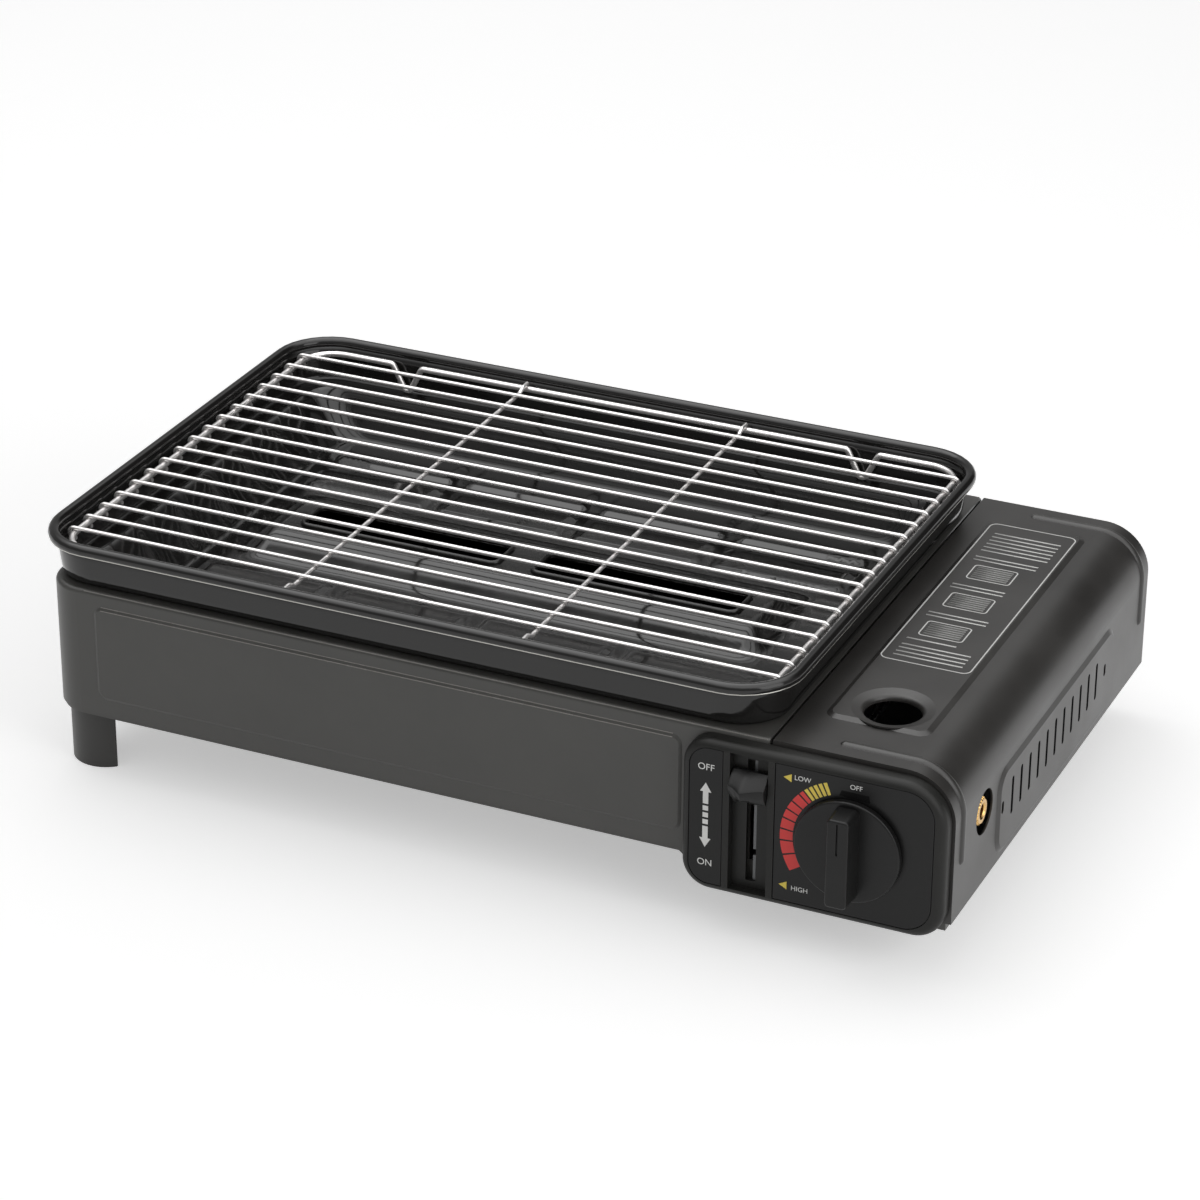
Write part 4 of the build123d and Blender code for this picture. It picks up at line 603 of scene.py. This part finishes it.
class STOVE_OT_pan(bpy.types.Operator):
    """Makes the pressed enamel pan with its rolled rim, ridge, flame slots, pads and ribs"""

    bl_idname = "stove.pan"
    bl_label = "Grill pan"

    def execute(self, context):
        p = context.scene.stove_pan
        low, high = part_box("grill_pan")
        rim = p.rim_radius
        rim_z = high.z - rim
        x0, x1, y0, y1 = low.x, high.x, low.y, high.y
        mid_y = (y0 + y1) / 2 + 0.5 * MM

        def inset(left, right, side, radius, z):
            """A rounded loop inside the rim's outline, at a height."""
            return level(outline(x0 + left, x1 - right, y0 + side, y1 - side, radius), z)

        # outer wall, from the rim down to the ledge: how far in, and the height
        corner = p.rim_corner
        wall = (
            (4.9, rim_z), (5.5, rim_z - 6 * MM), (6.3, rim_z - 13 * MM), (6.7, p.ledge + 1.6 * MM),
            (7.1, p.ledge + 0.6 * MM), (7.9, p.ledge + 0.1 * MM), (9.0, p.ledge),
        )
        loops = [inset(d * MM, d * MM, d * MM, corner - d * MM, z) for d, z in wall]
        ledge_side, ledge_right = 15.8 * MM, 20.8 * MM
        bend, bend_corner, basin_corner, floor_corner = 1.5 * MM, 14.7 * MM, 13.2 * MM, 11 * MM
        before_bend = (ledge_side - bend, ledge_right - bend, ledge_side - bend)
        loops.append(inset(*before_bend, bend_corner, p.ledge))
        floor_left, floor_right = ledge_side + p.slope_left, ledge_right + p.slope_right
        floor_side = ledge_side + p.slope_side
        basin_top = inset(ledge_side, ledge_right, ledge_side, basin_corner, p.ledge)
        floor_loop = inset(floor_left, floor_right, floor_side, floor_corner, p.floor)
        fx0, fx1, fy0, fy1 = x0 + floor_left, x1 - floor_right, y0 + floor_side, y1 - floor_side

        # basin wall, a part of its fall straight, with pressed ribs that fan out down its two ends
        steps, straight, rib_margin, rib_fade, rib_fan = 18, 0.62, 34 * MM, 0.04, 0.05
        for k in range(steps + 1):
            t = k / steps
            loop = basin_top + (floor_loop - basin_top) * t
            fall = straight * t + (1 - straight) * smooth_step(t)
            loop[:, 2] = p.ledge - (p.ledge - p.floor) * fall
            ends = (loop[:, 0] < fx0) | (loop[:, 0] > fx1)
            along = (loop[:, 1] - (y0 + rib_margin)) / (y1 - y0 - 2 * rib_margin)
            inside = smooth_step(along / rib_fade) * smooth_step((1 - along) / rib_fade)
            fan = along + rib_fan * (t - 0.5) * np.sign(0.5 - along)
            wave = 1 - (1 - np.abs(np.sin(math.pi * p.rib_count * np.clip(fan, 0, 1)))) ** 2.5
            loop[:, 2] += ends * inside * wave * p.rib_height * math.sin(math.pi * t) ** 0.7
            loops.append(loop)

        # floor
        reach, count = (y1 - y0) / 2 - floor_side, 56
        for k in range(1, count + 1):
            d = min(reach * k / count, reach - 0.02 * MM)
            radius = max(floor_corner - d, 0.01 * MM)
            loops.append(inset(floor_left + d, floor_right + d, floor_side + d, radius, p.floor))
        points = np.concatenate(loops)
        around = len(loops[0])

        # ridge with the flame slots, and pads on both sides of it
        floor_from = (len(loops) - count) * around
        x, y = points[floor_from:, 0], points[floor_from:, 1]
        ridge_half, ridge_flank, ridge_setback, ridge_ramp = 38 * MM, 22.5 * MM, 14 * MM, 13 * MM
        flank = smooth_step((ridge_half - np.abs(y - mid_y)) / ridge_flank)
        left_end = smooth_step((x - fx0 - ridge_setback) / ridge_ramp)
        right_end = smooth_step((fx1 - ridge_setback - x) / ridge_ramp)
        columns, gap, soft = 4, 8 * MM, 1.6 * MM
        pad_length = (fx1 - fx0 - (columns + 1) * gap) / columns
        pad_width = (mid_y - ridge_half - fy0 - 2.5 * gap) / 2
        column = (x - fx0 - gap / 2) % (pad_length + gap) - gap / 2
        in_column = smooth_step(column / soft) * smooth_step((pad_length - column) / soft)
        near_wall = np.minimum(y - fy0, fy1 - y) - gap / 2
        line = near_wall % (pad_width + gap)
        in_line = smooth_step(line / soft) * smooth_step((pad_width - line) / soft)
        in_line *= (near_wall > 0) & (near_wall < 2 * (pad_width + gap))
        lift = p.hip * flank * (left_end * right_end)
        points[floor_from:, 2] += lift + p.pad_height * in_column * in_line

        sheet = piece("pan_sheet", points, ring_faces(len(loops), around), "pan", "pan_enamel")
        centres = [(fx0 + fx1) / 2 + side * (p.slot_length + p.slot_bridge) / 2 for side in (-1, 1)]
        self.cut_slots(sheet, p, centres, mid_y)
        thick = sheet.modifiers.new("thickness", "SOLIDIFY")
        thick.thickness = p.sheet
        thick.offset = -1
        sheet = plain_mesh(sheet, "pan_sheet")

        def bead(turns, radius, middle, z):
            """Loops of a round bead along the rim: its middle's distance inwards, and its height."""
            loops = []
            for angle in 2 * math.pi * np.arange(turns) / turns:
                d = middle - radius * math.cos(angle)
                loops.append(inset(d, d, d, corner - d, z + radius * math.sin(angle)))
            return loops

        roll = ringed("pan_rim", bead(18, rim, rim, rim_z), "pan", "pan_enamel")
        # painted highlight under the roll: a thin tube of bright metal finish where the enamel rim shows a
        # light line
        tilt, seat, rim_highlight_radius = math.radians(-38), rim - 0.15 * MM, 0.42 * MM
        edge = bead(8, rim_highlight_radius, rim - seat * math.cos(tilt), rim_z + seat * math.sin(tilt))
        ringed("pan_rim_edge", edge, "pan", "rim_highlight")
        lips = [self.lip(p, centre, mid_y) for centre in centres]
        pan = merged([sheet, roll, *lips], "pan", "pan", "pan_enamel")
        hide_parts("grill_pan")
        return {"FINISHED"}

    def cut_slots(self, sheet, p, centres, middle_y):
        """Opens the two flame slots and pulls their edges onto a clean outline."""
        cut = bmesh.new()
        cut.from_mesh(sheet.data)
        bmesh.ops.remove_doubles(cut, verts=cut.verts, dist=0.05 * MM)
        half_l, half_w, radius, pull = p.slot_length / 2, p.slot_width / 2, SLOT_CORNER, 4 * MM

        def depth(co, centre):
            """Signed distance outside a slot's outline, and the nearest point on it."""
            dx, dy = co.x - centre, co.y - middle_y
            qx, qy = abs(dx) - (half_l - radius), abs(dy) - (half_w - radius)
            outside = math.hypot(max(qx, 0), max(qy, 0)) + min(max(qx, qy), 0) - radius
            if qx > 0 and qy > 0:
                norm = math.hypot(qx, qy)
                nx, ny = qx / norm, qy / norm
            else:
                nx, ny = (1, 0) if qx > qy else (0, 1)
            x = co.x - math.copysign(nx, dx) * outside
            y = co.y - math.copysign(ny, dy) * outside
            return outside, Vector((x, y, co.z))

        def is_open(face):
            """Whether a face lies in one of the slots."""
            middle = face.calc_center_median()
            return middle.z < p.ledge and any(depth(middle, centre)[0] < 0 for centre in centres)

        bmesh.ops.delete(cut, geom=[face for face in cut.faces if is_open(face)], context="FACES")
        for vertex in cut.verts:
            if vertex.is_boundary:
                for centre in centres:
                    outside, near = depth(vertex.co, centre)
                    if abs(outside) < pull:
                        vertex.co = near
        cut.to_mesh(sheet.data)
        cut.free()
        shade(sheet.data)

    def lip(self, p, centre_x, centre_y):
        """Raised bead round one flame slot."""
        radius, overlap, height, turns = 1.3 * MM, 0.4 * MM, p.floor + p.hip + 0.1 * MM, 10
        loops = []
        for k in range(turns):
            angle = 2 * math.pi * k / turns
            d = radius * math.cos(angle) - overlap
            loop = outline(
                centre_x - p.slot_length / 2 - d, centre_x + p.slot_length / 2 + d,
                centre_y - p.slot_width / 2 - d, centre_y + p.slot_width / 2 + d, SLOT_CORNER + d, 24, 6, 6,
            )
            loops.append(level(loop, height + 1.2 * radius * math.sin(angle)))
        return ringed("slot_lip", loops, "pan", "pan_enamel")


# ---------------- painted edge highlights and the gas inlet's nut
class STOVE_OT_edges(bpy.types.Operator):
    """Lays thin tubes of lighter paint along the pressed edges of the tub's front and back: painted
    highlights where those edges catch the light
    """

    bl_idname = "stove.edges"
    bl_label = "Painted edge highlights"

    def execute(self, context):
        low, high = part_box("body_tub")
        field, fold, highlight_radius, parts = 0.8 * MM, 0.65 * MM, 0.24 * MM, 8
        front = low.y + field
        deck = (low.x + 22 * MM, high.x - 1 * MM)
        stamped = (low.x + 31 * MM, high.x - 44 * MM)
        runs = {
            "front_deck_edge": (*deck, front + fold, high.z - fold),
            "front_foot_edge": (*stamped, front, high.z - 7 * MM),
            "front_crest_edge": (*stamped, front - field, high.z - 8.4 * MM),
            "back_deck_edge": (*deck, high.y - fold, high.z - fold),
        }
        for name, (x0, x1, y, z) in runs.items():
            path = [(x0 + (x1 - x0) * k / parts, y, z) for k in range(parts + 1)]
            steps = [(k, k + 1) for k in range(parts)]
            row(name, path, steps, [], (1, 0, 0), "stove", "highlight_paint", highlight_radius)
        return {"FINISHED"}


class STOVE_OT_inlet(bpy.types.Operator):
    """Makes the knurled brass nut that shows in the lid's side hole"""

    bl_idname = "stove.inlet"
    bl_label = "Inlet nut"

    def execute(self, context):
        low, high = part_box("gas_inlet")
        y, z = (low.y + high.y) / 2, (low.z + high.z) / 2
        teeth, outer, bore = 24, 6.6 * MM, 3.2 * MM
        groove, knurled_from = 0.45 * MM, outer - 0.7 * MM
        # radius, and how far outside the inlet's end in millimetres
        profile = (
            (bore, -0.5), (bore, 3.2), (bore + 0.6 * MM, 3.9), (outer - 1.2 * MM, 3.9),
            (outer - 0.4 * MM, 3.3), (outer, 2.7), (outer, 0.6), (outer - 0.5 * MM, -0.5),
        )
        loops = []
        for radius, along in profile:
            loop = []
            for k in range(4 * teeth):
                turn = 2 * math.pi * k / (4 * teeth)
                reach = radius - (groove if k % 4 in (0, 1) and radius > knurled_from else 0)
                loop.append((high.x + along * MM, y + reach * math.cos(turn), z + reach * math.sin(turn)))
            loops.append(np.array(loop))
        outward(ringed("inlet_nut", loops, "stove", "brass", smooth=False))
        return {"FINISHED"}


# ---------------- bars, louvres and lever grip
class STOVE_OT_bars(bpy.types.Operator):
    """Repeats one bent bar, hooked round the frame wire at both ends, across the grate"""

    bl_idname = "stove.bars"
    bl_label = "Grate bars"

    def execute(self, context):
        p = context.scene.stove_grate
        low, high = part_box("grate_frame")
        left, right = low.x + p.frame_wire / 2, high.x - p.frame_wire / 2
        front, back = low.y + p.frame_wire / 2, high.y - p.frame_wire / 2
        centre = high.z - p.frame_wire / 2
        clearance, parts = 0.02 * MM, 12
        hook = (p.frame_wire + p.wire) / 2 + clearance
        turns = np.radians(np.arange(290, 89, -20.0))
        near = [(left + hook * math.cos(t), 0, centre + hook * math.sin(t)) for t in turns]
        span = [(left + (right - left) * k / parts, 0, centre + hook) for k in range(1, parts)]
        far = [(right + hook * math.cos(t), 0, centre + hook * math.sin(t)) for t in math.pi - turns[::-1]]
        path = near + span + far
        steps = [(k, k + 1) for k in range(len(path) - 1)]
        places = (p.bars, front + p.margin, (back - front - 2 * p.margin) / (p.bars - 1))
        bars = row("bars", path, steps, [], places, "grate", "grate_chrome", p.wire / 2)
        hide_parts("grate_bars")
        return {"FINISHED"}


class STOVE_OT_louvres(bpy.types.Operator):
    """Repeats the pressed lip that fills the lower half of each slot in the lid's side, in lighter paint as
    a painted highlight, and lines each slot with painted shade
    """

    bl_idname = "stove.louvres"
    bl_label = "Louvre lips"

    def execute(self, context):
        p = context.scene.stove_louvres
        low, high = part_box("lid")
        side = high.x
        places = (p.count, low.y + p.setback, p.pitch)
        across, down = 4, 10
        wide = across + 1
        vertices, faces = [], []
        for k in range(down + 1):
            t = k / down
            z = p.height - 0.5 * MM - (p.length / 2 - 0.7 * MM) * t
            swell, taper = smooth_step(t * 2.4), smooth_step((t - 0.75) * 4)
            reach = p.width * (0.12 + 0.55 * swell) * (1 - 0.55 * taper)
            for u in np.arange(wide) / across:
                y = -p.width / 2 - 0.3 * MM + (reach + 0.3 * MM) * u
                vertices.append((side - 0.25 * MM - 0.9 * MM * u * u, y, z))
        for k in range(down):
            for a in range(k * wide, k * wide + across):
                faces.append((a, a + wide, a + wide + 1, a + 1))
        under = len(vertices)
        vertices += [(x - 0.5 * MM, y, z) for x, y, z in vertices]
        faces += [tuple(under + i for i in reversed(face)) for face in faces]
        rim = (
            list(range(wide)) + [k * wide + across for k in range(1, down + 1)]
            + [down * wide + i for i in range(across - 1, -1, -1)]
            + [k * wide for k in range(down - 1, 0, -1)]
        )
        faces += [(a, b, under + b, under + a) for a, b in zip(rim, rim[1:] + rim[:1])]
        # the lips are in lighter paint: a painted highlight where they catch the light
        row("louvre_lips", vertices, [], faces, places, "lid", "highlight_paint")
        # painted shade: thin near-black liners inside the slots' cut edges, where shade falls
        loops = []
        outer, inner, behind = 0.01 * MM, 0.09 * MM, side - 0.95 * MM
        for depth, x in ((outer, behind), (outer, side), (inner, side), (inner, behind)):
            half, rise = p.width / 2 - depth, p.length / 2 - depth
            loop = outline(-half, half, -rise, rise, half - 0.01 * MM, 2, 8, 6)
            loops.append(np.column_stack([np.full(len(loop), x), loop[:, 0], loop[:, 1] + p.height]))
        vertices, faces = np.concatenate(loops), ring_faces(4, len(loops[0]), closed=True)
        row("louvre_shade_liners", vertices, [], faces, places, "lid", "shade_and_patch_black")
        return {"FINISHED"}


class STOVE_OT_grip(bpy.types.Operator):
    """Makes the lever's grip, a shelf for the thumb whose nose divides two slanting faces"""

    bl_idname = "stove.grip"
    bl_label = "Lever grip"

    def execute(self, context):
        low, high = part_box("lever_knob")
        pin_low, pin_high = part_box("lever_pivot_pin")
        pin_y, pin_z = (pin_low.y + pin_high.y) / 2, (pin_low.z + pin_high.z) / 2
        reach = min(math.hypot(v.co.y - pin_y, v.co.z - pin_z) for v in NODES["lever_knob"].data.vertices)

        def back(z):
            """The grip's back at a height: it never swings deeper than the solid does."""
            return pin_y - math.sqrt(reach ** 2 - (z - pin_z) ** 2) - 0.1 * MM

        vertices, stations, peak = [], 17, 0.42
        wide, tall = high.x - low.x, high.z - low.z
        for u in np.arange(stations) / (stations - 1):
            nose = max(0, 1 - abs(u - peak) / (peak if u < peak else 1 - peak))
            lobe = math.exp(-((u - 0.16) / 0.12) ** 2)
            front = high.y - (high.y - low.y) * (0.62 + 0.38 * nose ** 1.4)
            ledge = low.z + tall * (0.62 - 0.06 * nose)
            keel = low.z + tall * (0.16 - 0.16 * max(lobe, 0.8 * smooth_step((u - 0.5) * 3)))
            section = (
                (back(high.z), high.z - 0.6 * MM), (back(high.z) - 2.6 * MM, high.z),
                (front + 1.4 * MM, ledge + 1.2 * MM), (front, ledge),
                (front + 0.5 * MM, (ledge + keel) / 2),
                (min(front + 3.4 * MM, back(keel) - 0.6 * MM), keel), (back(keel), keel),
            )
            vertices += [(low.x + wide * u, y, z) for y, z in section]
        size = len(section)
        last = (stations - 1) * size
        faces = ring_faces(stations, size) + [tuple(reversed(range(size))), tuple(range(last, last + size))]
        grip = piece("grip_block", vertices, faces, "lever", "knob_plastic")
        outward(grip)
        edge = grip.modifiers.new("edge", "BEVEL")
        edge.width = 0.7 * MM
        edge.segments = 3
        edge.limit_method = "ANGLE"
        edge.angle_limit = math.radians(35)
        grip = plain_mesh(grip, "lever_grip")
        shade(grip.data)
        keep(grip, "lever", "knob_plastic")
        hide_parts("lever_knob")
        return {"FINISHED"}


# ---------------- printed scale, arrows and words
class STOVE_OT_dial(bpy.types.Operator):
    """Prints the red and yellow scale, its pointers and its plain words on the dial plate"""

    bl_idname = "stove.dial"
    bl_label = "Dial print"

    def execute(self, context):
        p = context.scene.stove_dial
        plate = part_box("dial_plate")[0]
        knob_low, knob_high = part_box("knob")
        cx, cz = (knob_low.x + knob_high.x) / 2, (knob_low.z + knob_high.z) / 2
        gap = 1.5

        def segment(start, end):
            """One printed field of the scale between two angles."""
            turn = np.radians(np.linspace(start + gap / 2, end - gap / 2, 9))
            inner = [(cx + p.inner * math.cos(t), cz + p.inner * math.sin(t)) for t in turn]
            outer = [(cx + p.outer * math.cos(t), cz + p.outer * math.sin(t)) for t in turn[::-1]]
            return inner + outer

        # angles of the scale's divisions, anticlockwise from the right
        yellow = np.linspace(109.6, 132.6, 6)
        red = (132.6, 137.9, 147.1, 155.7, 164.5, 174.9, 185.4, 198.2, 213.3)
        for name, ends in (("yellow", yellow), ("red", red)):
            fields = [segment(a, b) for a, b in zip(ends, ends[1:])]
            flat_print(f"scale_{name}", fields, plate.y, p.film, f"print_{name}")
        pointers = [
            [(x - 2.0 * MM, z), (x + 1.6 * MM, z + 1.9 * MM), (x + 1.6 * MM, z - 1.9 * MM)]
            for x, z in ((cx - 28.2 * MM, cz + 27.6 * MM), (cx - 29.1 * MM, cz - 24.5 * MM))
        ]
        flat_print("scale_pointers", pointers, plate.y, p.film, "print_yellow")
        # a near-black four-sided patch printed on the plate above the knob
        dark_patch = [
            (cx - 5.2 * MM, cz + 24.6 * MM), (cx - 4.2 * MM, cz + 27.2 * MM),
            (cx + 8.0 * MM, cz + 27.0 * MM), (cx + 8.6 * MM, cz + 23.8 * MM),
        ]
        flat_print("dial_dark_patch", [dark_patch], plate.y, p.film, "shade_and_patch_black")
        words = (
            ("OFF", cx - 0.6 * MM, cz + 28.6 * MM), ("LOW", cx - 25.4 * MM, cz + 27.2 * MM),
            ("HIGH", cx - 25.6 * MM, cz - 26.2 * MM),
        )
        for word, x, z in words:
            print_word("dial_" + word.lower(), word, (x, plate.y, z), p.film, 3.2 * MM)
        return {"FINISHED"}


def print_word(name, word, place, film, height, align="LEFT"):
    """A plain printed word on a front-facing plate."""
    data = bpy.data.curves.new(name, "FONT")
    data.body = word
    data.size = height
    data.extrude = film / 2
    data.align_x = align
    flat = plain_mesh(placed(name, data), name + "_mesh")
    x, y, z = place
    flat.data.transform(Matrix.Translation((x, y - film / 2, z)) @ FRONT_FACING.to_4x4())
    flat.name = name
    return keep(flat, "stove", "print_white")


class STOVE_OT_arrows(bpy.types.Operator):
    """Prints the double arrow beside the lever, with a dashed middle"""

    bl_idname = "stove.arrows"
    bl_label = "Arrow print"

    def execute(self, context):
        film = context.scene.stove_dial.film
        low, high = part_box("arrow_plate")
        x = (low.x + high.x) / 2
        bottom, top = low.z + 17.4 * MM, high.z - 16.6 * MM
        half, stem, head, shaft = 2.6 * MM, 1.25 * MM, 4.4 * MM, 5.8 * MM
        shapes = []
        for tip, way in ((top, -1), (bottom, 1)):
            neck, end = tip + way * head, tip + way * (head + shaft)
            shapes.append([(x, tip), (x - half, neck), (x + half, neck)])
            shapes.append([(x - stem, neck), (x - stem, end), (x + stem, end), (x + stem, neck)])
        dashes, gap = 3, 1.0 * MM
        room = top - bottom - 2 * (head + shaft)
        dash = (room - (dashes + 1) * gap) / dashes
        for k in range(dashes):
            z = bottom + head + shaft + gap + k * (dash + gap)
            shapes.append([(x - stem, z + dash), (x - stem, z), (x + stem, z), (x + stem, z + dash)])
        flat_print("arrow_print", shapes, low.y, film, "print_white")
        for word, z in (("OFF", high.z - 10.5 * MM), ("ON", low.z + 8.5 * MM)):
            print_word("arrow_" + word.lower(), word, (x, low.y, z), film, 4.4 * MM, "CENTER")
        return {"FINISHED"}


class STOVE_OT_label(bpy.types.Operator):
    """Prints the plain framed label, with ruled lines and empty boxes, on top of the lid"""

    bl_idname = "stove.label"
    bl_label = "Lid label"

    def execute(self, context):
        low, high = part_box("lid")
        heights = (high.z, high.z + context.scene.stove_dial.film)
        line, rule, fine = 0.6 * MM, 1.0 * MM, 1.3 * MM
        x0, x1 = low.x + 13.4 * MM, low.x + 55.4 * MM
        y0, y1 = low.y + 87.6 * MM, low.y + 236.6 * MM
        self.frame("label_frame", (x0, x1, y0, y1), 4 * MM, line, heights)
        left, right = x0 + 5 * MM, x1 - 5 * MM
        for k, y in enumerate((y0 + 27 * MM, y0 + 58 * MM, y0 + 89 * MM)):
            sides = (left + 3 * MM, right - 8 * MM, y, y + 15 * MM)
            self.frame(f"label_box_{k}", sides, 2 * MM, line, heights)
            hatch = (sides[0] + 2 * MM, sides[1] - 2 * MM)
            self.lines(f"label_hatch_{k}", hatch, (6, y + 2 * MM, 2 * MM), fine, heights, "print_grey")
        # ruled lines in millimetres: how many, the first one's place, the pitch, and how much shorter
        blocks = (
            (4, 5, 3.6, 0), (1, 22, 3, 9), (2, 46.5, 3.4, 4), (2, 77.5, 3.4, 7), (2, 108.5, 3.4, 2),
            (6, 119, 3.8, 0),
        )
        for k, (count, start, pitch, shorter) in enumerate(blocks):
            span, places = (left, right - shorter * MM), (count, y0 + start * MM, pitch * MM)
            self.lines(f"label_lines_{k}", span, places, rule, heights, "print_white")
        return {"FINISHED"}

    def lines(self, name, span, places, width, heights, material):
        """Printed lines across the label, one behind the other."""
        corners = ((span[0], 0), (span[1], 0), (span[1], width), (span[0], width))
        vertices = [(x, y, height) for height in heights for x, y in corners]
        sides = [(i, (i + 1) % 4, 4 + (i + 1) % 4, 4 + i) for i in range(4)]
        faces = [(3, 2, 1, 0), (4, 5, 6, 7), *sides]
        return row(name, vertices, [], faces, places, "lid", material)

    def frame(self, name, sides, radius, line, heights):
        """A printed rounded rectangle with nothing in it."""
        x0, x1, y0, y1 = sides
        outer = outline(x0, x1, y0, y1, radius, 2, 2, 8)
        inner = outline(x0 + line, x1 - line, y0 + line, y1 - line, radius - line, 2, 2, 8)
        low, high = heights
        loops = [level(outer, low), level(outer, high), level(inner, high), level(inner, low)]
        return ringed(name, loops, "lid", "print_white", smooth=False)


# ---------------- panel in the sidebar and running order
SETTINGS = {
    "stove_finishes": StoveFinishes,
    "stove_pan": StovePan,
    "stove_dial": StoveDial,
    "stove_grate": StoveGrate,
    "stove_louvres": StoveLouvres,
    "stove_stage": StoveStage,
}
STEPS = (
    STOVE_OT_camera, STOVE_OT_stage, STOVE_OT_finishes, STOVE_OT_pan, STOVE_OT_edges, STOVE_OT_inlet,
    STOVE_OT_bars, STOVE_OT_louvres, STOVE_OT_grip, STOVE_OT_dial, STOVE_OT_arrows, STOVE_OT_label,
)


class STOVE_PT_panel(bpy.types.Panel):
    """Lists the steps that make the stove's looks"""

    bl_idname = "STOVE_PT_panel"
    bl_label = "Stove"
    bl_space_type = "VIEW_3D"
    bl_region_type = "UI"
    bl_category = "Stove"

    def draw(self, context):
        for title in SETTINGS:
            box = self.layout.box()
            settings = getattr(context.scene, title)
            for name in settings.__annotations__:
                box.prop(settings, name)
        for step in STEPS:
            self.layout.operator(step.bl_idname)


def register():
    for kind in (*SETTINGS.values(), *STEPS, STOVE_PT_panel):
        bpy.utils.register_class(kind)
    for name, kind in SETTINGS.items():
        setattr(bpy.types.Scene, name, PointerProperty(type=kind))


def unregister():
    for name in SETTINGS:
        delattr(bpy.types.Scene, name)
    for kind in reversed((*SETTINGS.values(), *STEPS, STOVE_PT_panel)):
        bpy.utils.unregister_class(kind)


def main():
    """Makes all pieces in order."""
    register()
    for step in STEPS:
        family, name = step.bl_idname.split(".")
        getattr(getattr(bpy.ops, family), name)()


if __name__ == "__main__":
    main()
